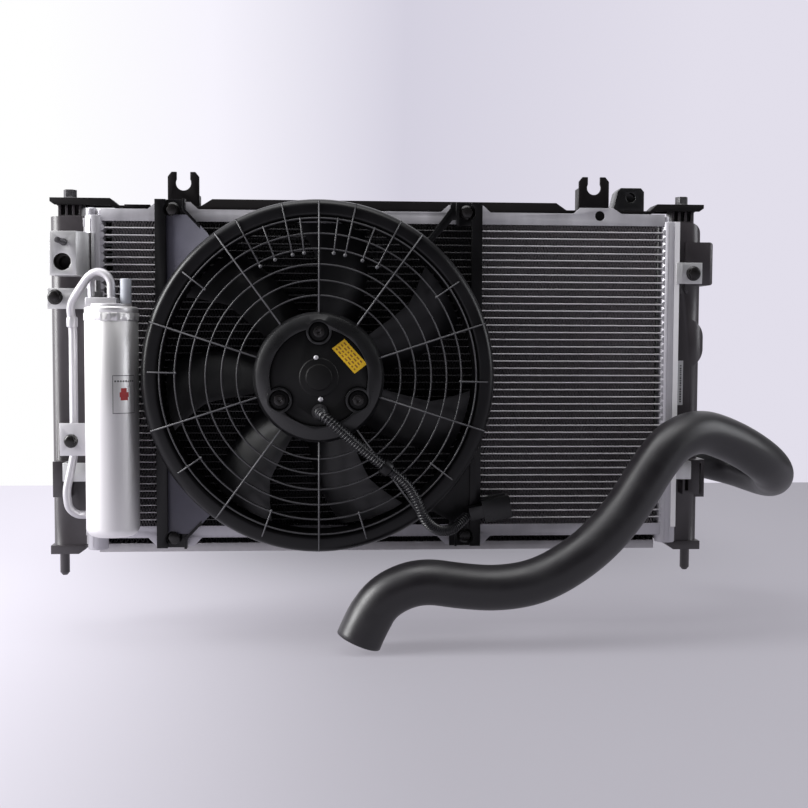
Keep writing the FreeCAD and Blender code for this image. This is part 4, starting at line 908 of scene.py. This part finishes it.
def drier_fittings():
    """Collar on the liquid line, and a threaded stud on the connection block."""
    bm = bmesh.new()
    profile = [(0.0041, 0.2375), (0.0052, 0.2380), (0.0056, 0.2395), (0.0056, 0.2465), (0.0052, 0.2480),
               (0.0041, 0.2485)]
    lathe(bm, profile, (-0.3155, -0.0550), axis="Z", segments=32, closed=True)
    put("pipe_collar", bm, "bare_aluminium", "bare_aluminium")
    low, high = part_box("ac_block_stud")
    bm = bmesh.new()
    start = ((low.x + high.x) / 2, high.y - 0.012, (low.z + high.z) / 2)
    threaded_rod(bm, start, "Y", start[1] - low.y, 0.0030, 0.0012)
    root = [(0.0033, high.y), (0.0034, high.y - 0.0005), (0.0034, high.y - 0.0125),
            (0.0028, high.y - 0.0128)]
    lathe(bm, root, (start[0], start[2]), segments=24)
    stud = put("ac_stud_threaded", bm, "bolt_steel", "bolt_steel")
    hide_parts("ac_block_stud")


# ---------------------------------------------------------------- small parts lying on the rest
def rating_plate():
    """Plain yellow plate with generic bars on the motor, and its two rivets."""
    corner = Vector((-0.0530, 0, 0.2176))
    along = Vector((0.0222, 0, -0.0246))
    across = Vector((0.0123, 0, 0.0095))
    back, front = -0.1120, -0.11235
    bm = bmesh.new()

    def tile(u0, u1, v0, v1, near, far, material):
        spots = [corner + along * u + across * v for u, v in ((u0, v0), (u1, v0), (u1, v1), (u0, v1))]
        rings = [[bm.verts.new((p.x, y, p.z)) for p in spots] for y in (far, near)]
        skin(bm, rings, material)

    tile(0, 1, 0, 1, front, back, 0)
    rng = random.Random(3)
    for row in range(4):
        u = 0.07
        while u < 0.88:
            width = rng.uniform(0.05, 0.13)
            tile(u, min(0.93, u + width), 0.14 + 0.21 * row, 0.23 + 0.21 * row, front - 0.00006, front, 1)
            u += width + 0.05
    put("rating_plate", bm, "cap_plastic", "label_yellow", "print_orange")
    bm = bmesh.new()
    dome = [(0.0002, -0.1139), (0.0013, -0.1138), (0.0022, -0.1131), (0.0026, -0.1119), (0.0026, -0.1110)]
    for centre in ((-0.0686, 0.2087), (-0.0641, 0.1676)):
        lathe(bm, dome, centre, segments=24)
    put("motor_rivets", bm, "bare_aluminium", "bare_aluminium", smooth=50)


def tank_details():
    """Blank label, slanted ribs, crimp tabs and back ribs of the tanks, and the flat on the crossbar."""
    bm = bmesh.new()
    add_block(bm, (0.3180, -0.01985, 0.1570), (0.3262, -0.0193, 0.2050), 0)
    z = 0.1600
    rng = random.Random(5)
    while z < 0.2000:
        tall = rng.uniform(0.0006, 0.0022)
        add_block(bm, (0.3226, -0.01992, z), (0.3244, -0.0198, z + tall), 1)
        add_block(bm, (0.3196, -0.01992, z), (0.3206, -0.0198, z + tall * 0.7), 1)
        z += tall + 0.0008
    put("tank_label", bm, "cap_plastic", "label_white", "print_dark")
    bm = bmesh.new()
    for side in (-1, 1):
        for i in range(24):
            z = 0.0200 + i * 0.0140
            for y in (-1, 1):
                add_block(bm, (side * 0.3072, y * 0.0190, z), (side * 0.3098, y * 0.0243, z + 0.0090))
    bevelled_edges(bm, 0.0003)
    put("crimp_tabs", bm, "bare_aluminium", "bare_aluminium")
    bm = bmesh.new()
    for side, gap in ((-1, 0.312), (1, 0.095)):
        for i in range(9):
            z = 0.0300 + i * 0.0365
            if abs(z - gap) > 0.030:
                add_block(bm, (side * 0.3115, 0.0180, z), (side * 0.3400, 0.0215, z + 0.0022))
    slant = Matrix.Rotation(math.radians(-24), 3, "Y")
    for x in (0.3195, 0.3255):
        corners = add_block(bm, (x, -0.0215, 0.2765), (x + 0.0028, -0.0190, 0.2850))
        bmesh.ops.rotate(bm, verts=corners, cent=(x, 0, 0.281), matrix=slant)
    bevelled_edges(bm, 0.0004)
    put("tank_ribs", bm, "tank_plastic", "tank_plastic")
    bm = bmesh.new()
    add_block(bm, (-0.2690, -0.0147, 0.3632), (-0.2420, -0.0138, 0.3665))
    add_block(bm, (-0.2650, -0.0143, 0.3600), (-0.2460, -0.0138, 0.3640))
    bevelled_edges(bm, 0.0003)
    put("crossbar_flat", bm, "bar_steel", "bar_steel")
    bm = bmesh.new()
    add_block(bm, (0.3085, -0.0497, 0.2864), (0.3145, -0.0485, 0.3086))
    bevelled_edges(bm, 0.0003)
    put("bracket_foot", bm, "bare_aluminium", "cut_aluminium")
    # Painted shadow: a dark strip on the block's corner where the gap beside the pipe lies in shade
    bm = bmesh.new()
    add_block(bm, (-0.2972, -0.0536, 0.2900), (-0.2962, -0.0520, 0.3330))
    put("block_shadow_line", bm, "bare_aluminium", "painted_shade")


# ---------------------------------------------------------------- stage
def aim(thing, target):
    """Turn a light towards a point."""
    heading = Vector(target) - thing.location
    thing.rotation_euler = heading.to_track_quat("-Z", "Y").to_euler()


def area_light(name, place, target, size, power, colour=(1, 1, 1)):
    """Soft rectangular light aimed at a point."""
    data = bpy.data.lights.new(name, "AREA")
    data.shape = "RECTANGLE"
    data.size, data.size_y = size
    data.energy = power
    data.color = colour
    light = bpy.data.objects.new(name, data)
    light.location = place
    aim(light, target)
    bpy.context.scene.collection.objects.link(light)


def floor_light(paper):
    """Light that the floor gives off: stronger to the left, with a soft shade behind the object."""
    tree = paper.node_tree
    shader = tree.nodes["Principled BSDF"]
    spot = node_of(tree, "TexCoord")
    across = node_of(tree, "SeparateXYZ")
    tree.links.new(spot.outputs["Object"], across.inputs["Vector"])
    fade = ranged(tree, across.outputs["X"], (-0.55, 0.05), FLOOR_GLOW)
    aside = worked(tree, "ABSOLUTE", worked(tree, "SUBTRACT", across.outputs["X"], SHADE_MIDDLE))
    width = ranged(tree, aside, (0.10, 0.55), (1.0, 0.15))
    behind = ranged(tree, across.outputs["Y"], (0.06, 0.50), (0.0, SHADE_DEPTH))
    left = worked(tree, "SUBTRACT", 1.0, worked(tree, "MULTIPLY", width, behind))
    tree.links.new(worked(tree, "MULTIPLY", fade, left), shader.inputs["Emission Strength"])
    preset(shader, {"Emission Color": (0.93, 0.89, 1.0, 1)})


def set_world():
    """Backdrop that the camera sees, white at its left, and a softer room that lights the object."""
    world = bpy.data.worlds.new("studio")
    world.use_nodes = True
    bpy.context.scene.world = world
    tree = world.node_tree
    place = node_of(tree, "TexCoord")
    across = node_of(tree, "SeparateXYZ")
    tree.links.new(place.outputs["Generated"], across.inputs["Vector"])
    glow = node_of(tree, "ValToRGB")
    tones = (
        (0.12, (1.0, 1.0, 1.0)), (0.30, (0.93, 0.91, 0.99)), (0.52, (0.66, 0.64, 0.74)),
        (0.85, (0.76, 0.735, 0.83)),
    )
    glow.color_ramp.elements.new(0.30)
    glow.color_ramp.elements.new(0.52)
    for element, (at, tone) in zip(glow.color_ramp.elements, tones):
        element.position = at
        element.color = (*tone, 1)
    spread = ranged(tree, across.outputs["X"], (-0.30, 0.40), smooth=False)
    tree.links.new(spread, glow.inputs["Fac"])
    seen = tree.nodes["Background"]
    tree.links.new(glow.outputs["Color"], seen.inputs["Color"])
    seen.inputs["Strength"].default_value = 1.0
    lean = node_of(tree, "VectorMath", operation="DOT_PRODUCT")
    lean.inputs[1].default_value = (-0.62, 0.62, 0.48)
    tree.links.new(place.outputs["Generated"], lean.inputs[0])
    rise = ranged(tree, lean.outputs["Value"], (-0.15, 0.75), (0.05, 1.20))
    room = node_of(tree, "Background")
    tree.links.new(rise, room.inputs["Strength"])
    room.inputs["Color"].default_value = (0.96, 0.95, 1.0, 1)
    path = node_of(tree, "LightPath")
    mix = node_of(tree, "MixShader")
    tree.links.new(path.outputs["Is Camera Ray"], mix.inputs["Fac"])
    tree.links.new(room.outputs["Background"], mix.inputs[1])
    tree.links.new(seen.outputs["Background"], mix.inputs[2])
    tree.links.new(mix.outputs["Shader"], tree.nodes["World Output"].inputs["Surface"])


def set_stage():
    """Pale floor and wall, and three soft studio lights."""
    below = CAD_BOX[0].z - 0.001
    corners = [(-6, -5, below), (6, -5, below), (6, 1.22, below), (-6, 1.22, below)]
    floor = add_mesh("floor", corners, [(0, 1, 2, 3)])
    paper = surface("floor_paper", (0.13, 0.128, 0.14), 0.80, grain=300, grain_depth=0.0001, mottle=1.2,
                    spread=0.02, rough_spread=0.02, specular=0.1)
    floor_light(paper)
    floor.data.materials.append(paper)
    set_world()
    middle = (CAD_BOX[0] + CAD_BOX[1]) / 2
    area_light("key_left", (-2.0, -0.45, 1.0), middle, (0.9, 1.6), 68)
    area_light("top_soft", (-0.1, -0.30, 2.0), middle, (2.2, 0.9), 20)
    area_light("fill_right", (2.0, -0.50, 0.9), middle, (0.8, 1.4), 16, (0.95, 0.96, 1.0))
    bpy.context.scene.view_settings.view_transform = "Standard"


# ---------------------------------------------------------------- build
set_camera()
connector = softened("connector_plug", 0.0006)
lower_hose()
motor_lead()
set_stage()

fin_rows("condenser_fin_strips", "condenser_fins", CONDENSER_ROWS, "condenser_fin")
fin_rows("radiator_fin_strips", "radiator_fins", RADIATOR_ROWS, "radiator_fin", True)

tube_collars("left_tube_collars", LEFT_HEADER_X, 1, 0.0104, "left_condenser_header")
tube_collars("right_tube_collars", RIGHT_HEADER_X, -1, 0.0086, "right_condenser_header")
condenser_tube_strips()
header_pipe("left_header_pipe", "left_condenser_header", LEFT_HEADER_X, False)
header_pipe("right_header_pipe", "right_condenser_header", RIGHT_HEADER_X, True)
fan_rotor()
grille_wires()
ring_lip()
shroud_webs()
drier_can()
drier_fittings()
rating_plate()
tank_details()

SOFT_EDGES = {
    "left_tank": 0.0008, "right_tank": 0.0008, "upper_crossbar": 0.0007, "left_fork_bracket": 0.0006,
    "right_fork_bracket": 0.0006, "bar_block": 0.0010, "crossbar_bolts": 0.0005, "bracket_bolts": 0.0004,
    "shroud_bolts": 0.0005, "condenser_top_plate": 0.0003, "condenser_bottom_plate": 0.0003,
    "radiator_top_plate": 0.0003, "radiator_bottom_plate": 0.0003, "left_header_plate": 0.0004,
    "right_header_plate": 0.0004, "left_upper_bracket": 0.0004, "right_upper_bracket": 0.0004,
    "left_lower_bracket": 0.0004, "right_lower_bracket": 0.0004,
    "drier_head": 0.0006, "drier_brackets": 0.0008, "pipe_clamp": 0.0005, "drier_stud_nut": 0.0004,
    "drier_service_cap": 0.0008, "fan_shroud": 0.0006, "fan_grille": 0.0005, "motor_end_plate": 0.0005,
    "motor_screws": 0.0003, "motor_bushes": 0.0006, "lead_clip": 0.0003, "hose_clamp": 0.0005,
    "header_caps": 0.0004,
}
for node, width in SOFT_EDGES.items():
    softened(node, width)
# Painted shade in the bore of the connection block's port
PORT = Vector((-0.3215, 0, 0.3030))
softened("ac_connection_block", 0.0008,
         lambda spot: spot.y > -0.0695 and (Vector((spot.x, 0, spot.z)) - PORT).length < 0.0090)

for node, thing in NODES.items():
    thing.data.materials.clear()
    thing.data.materials.append(MATERIALS[NODE_MATERIAL.get(node, SLOT_OF[node])])
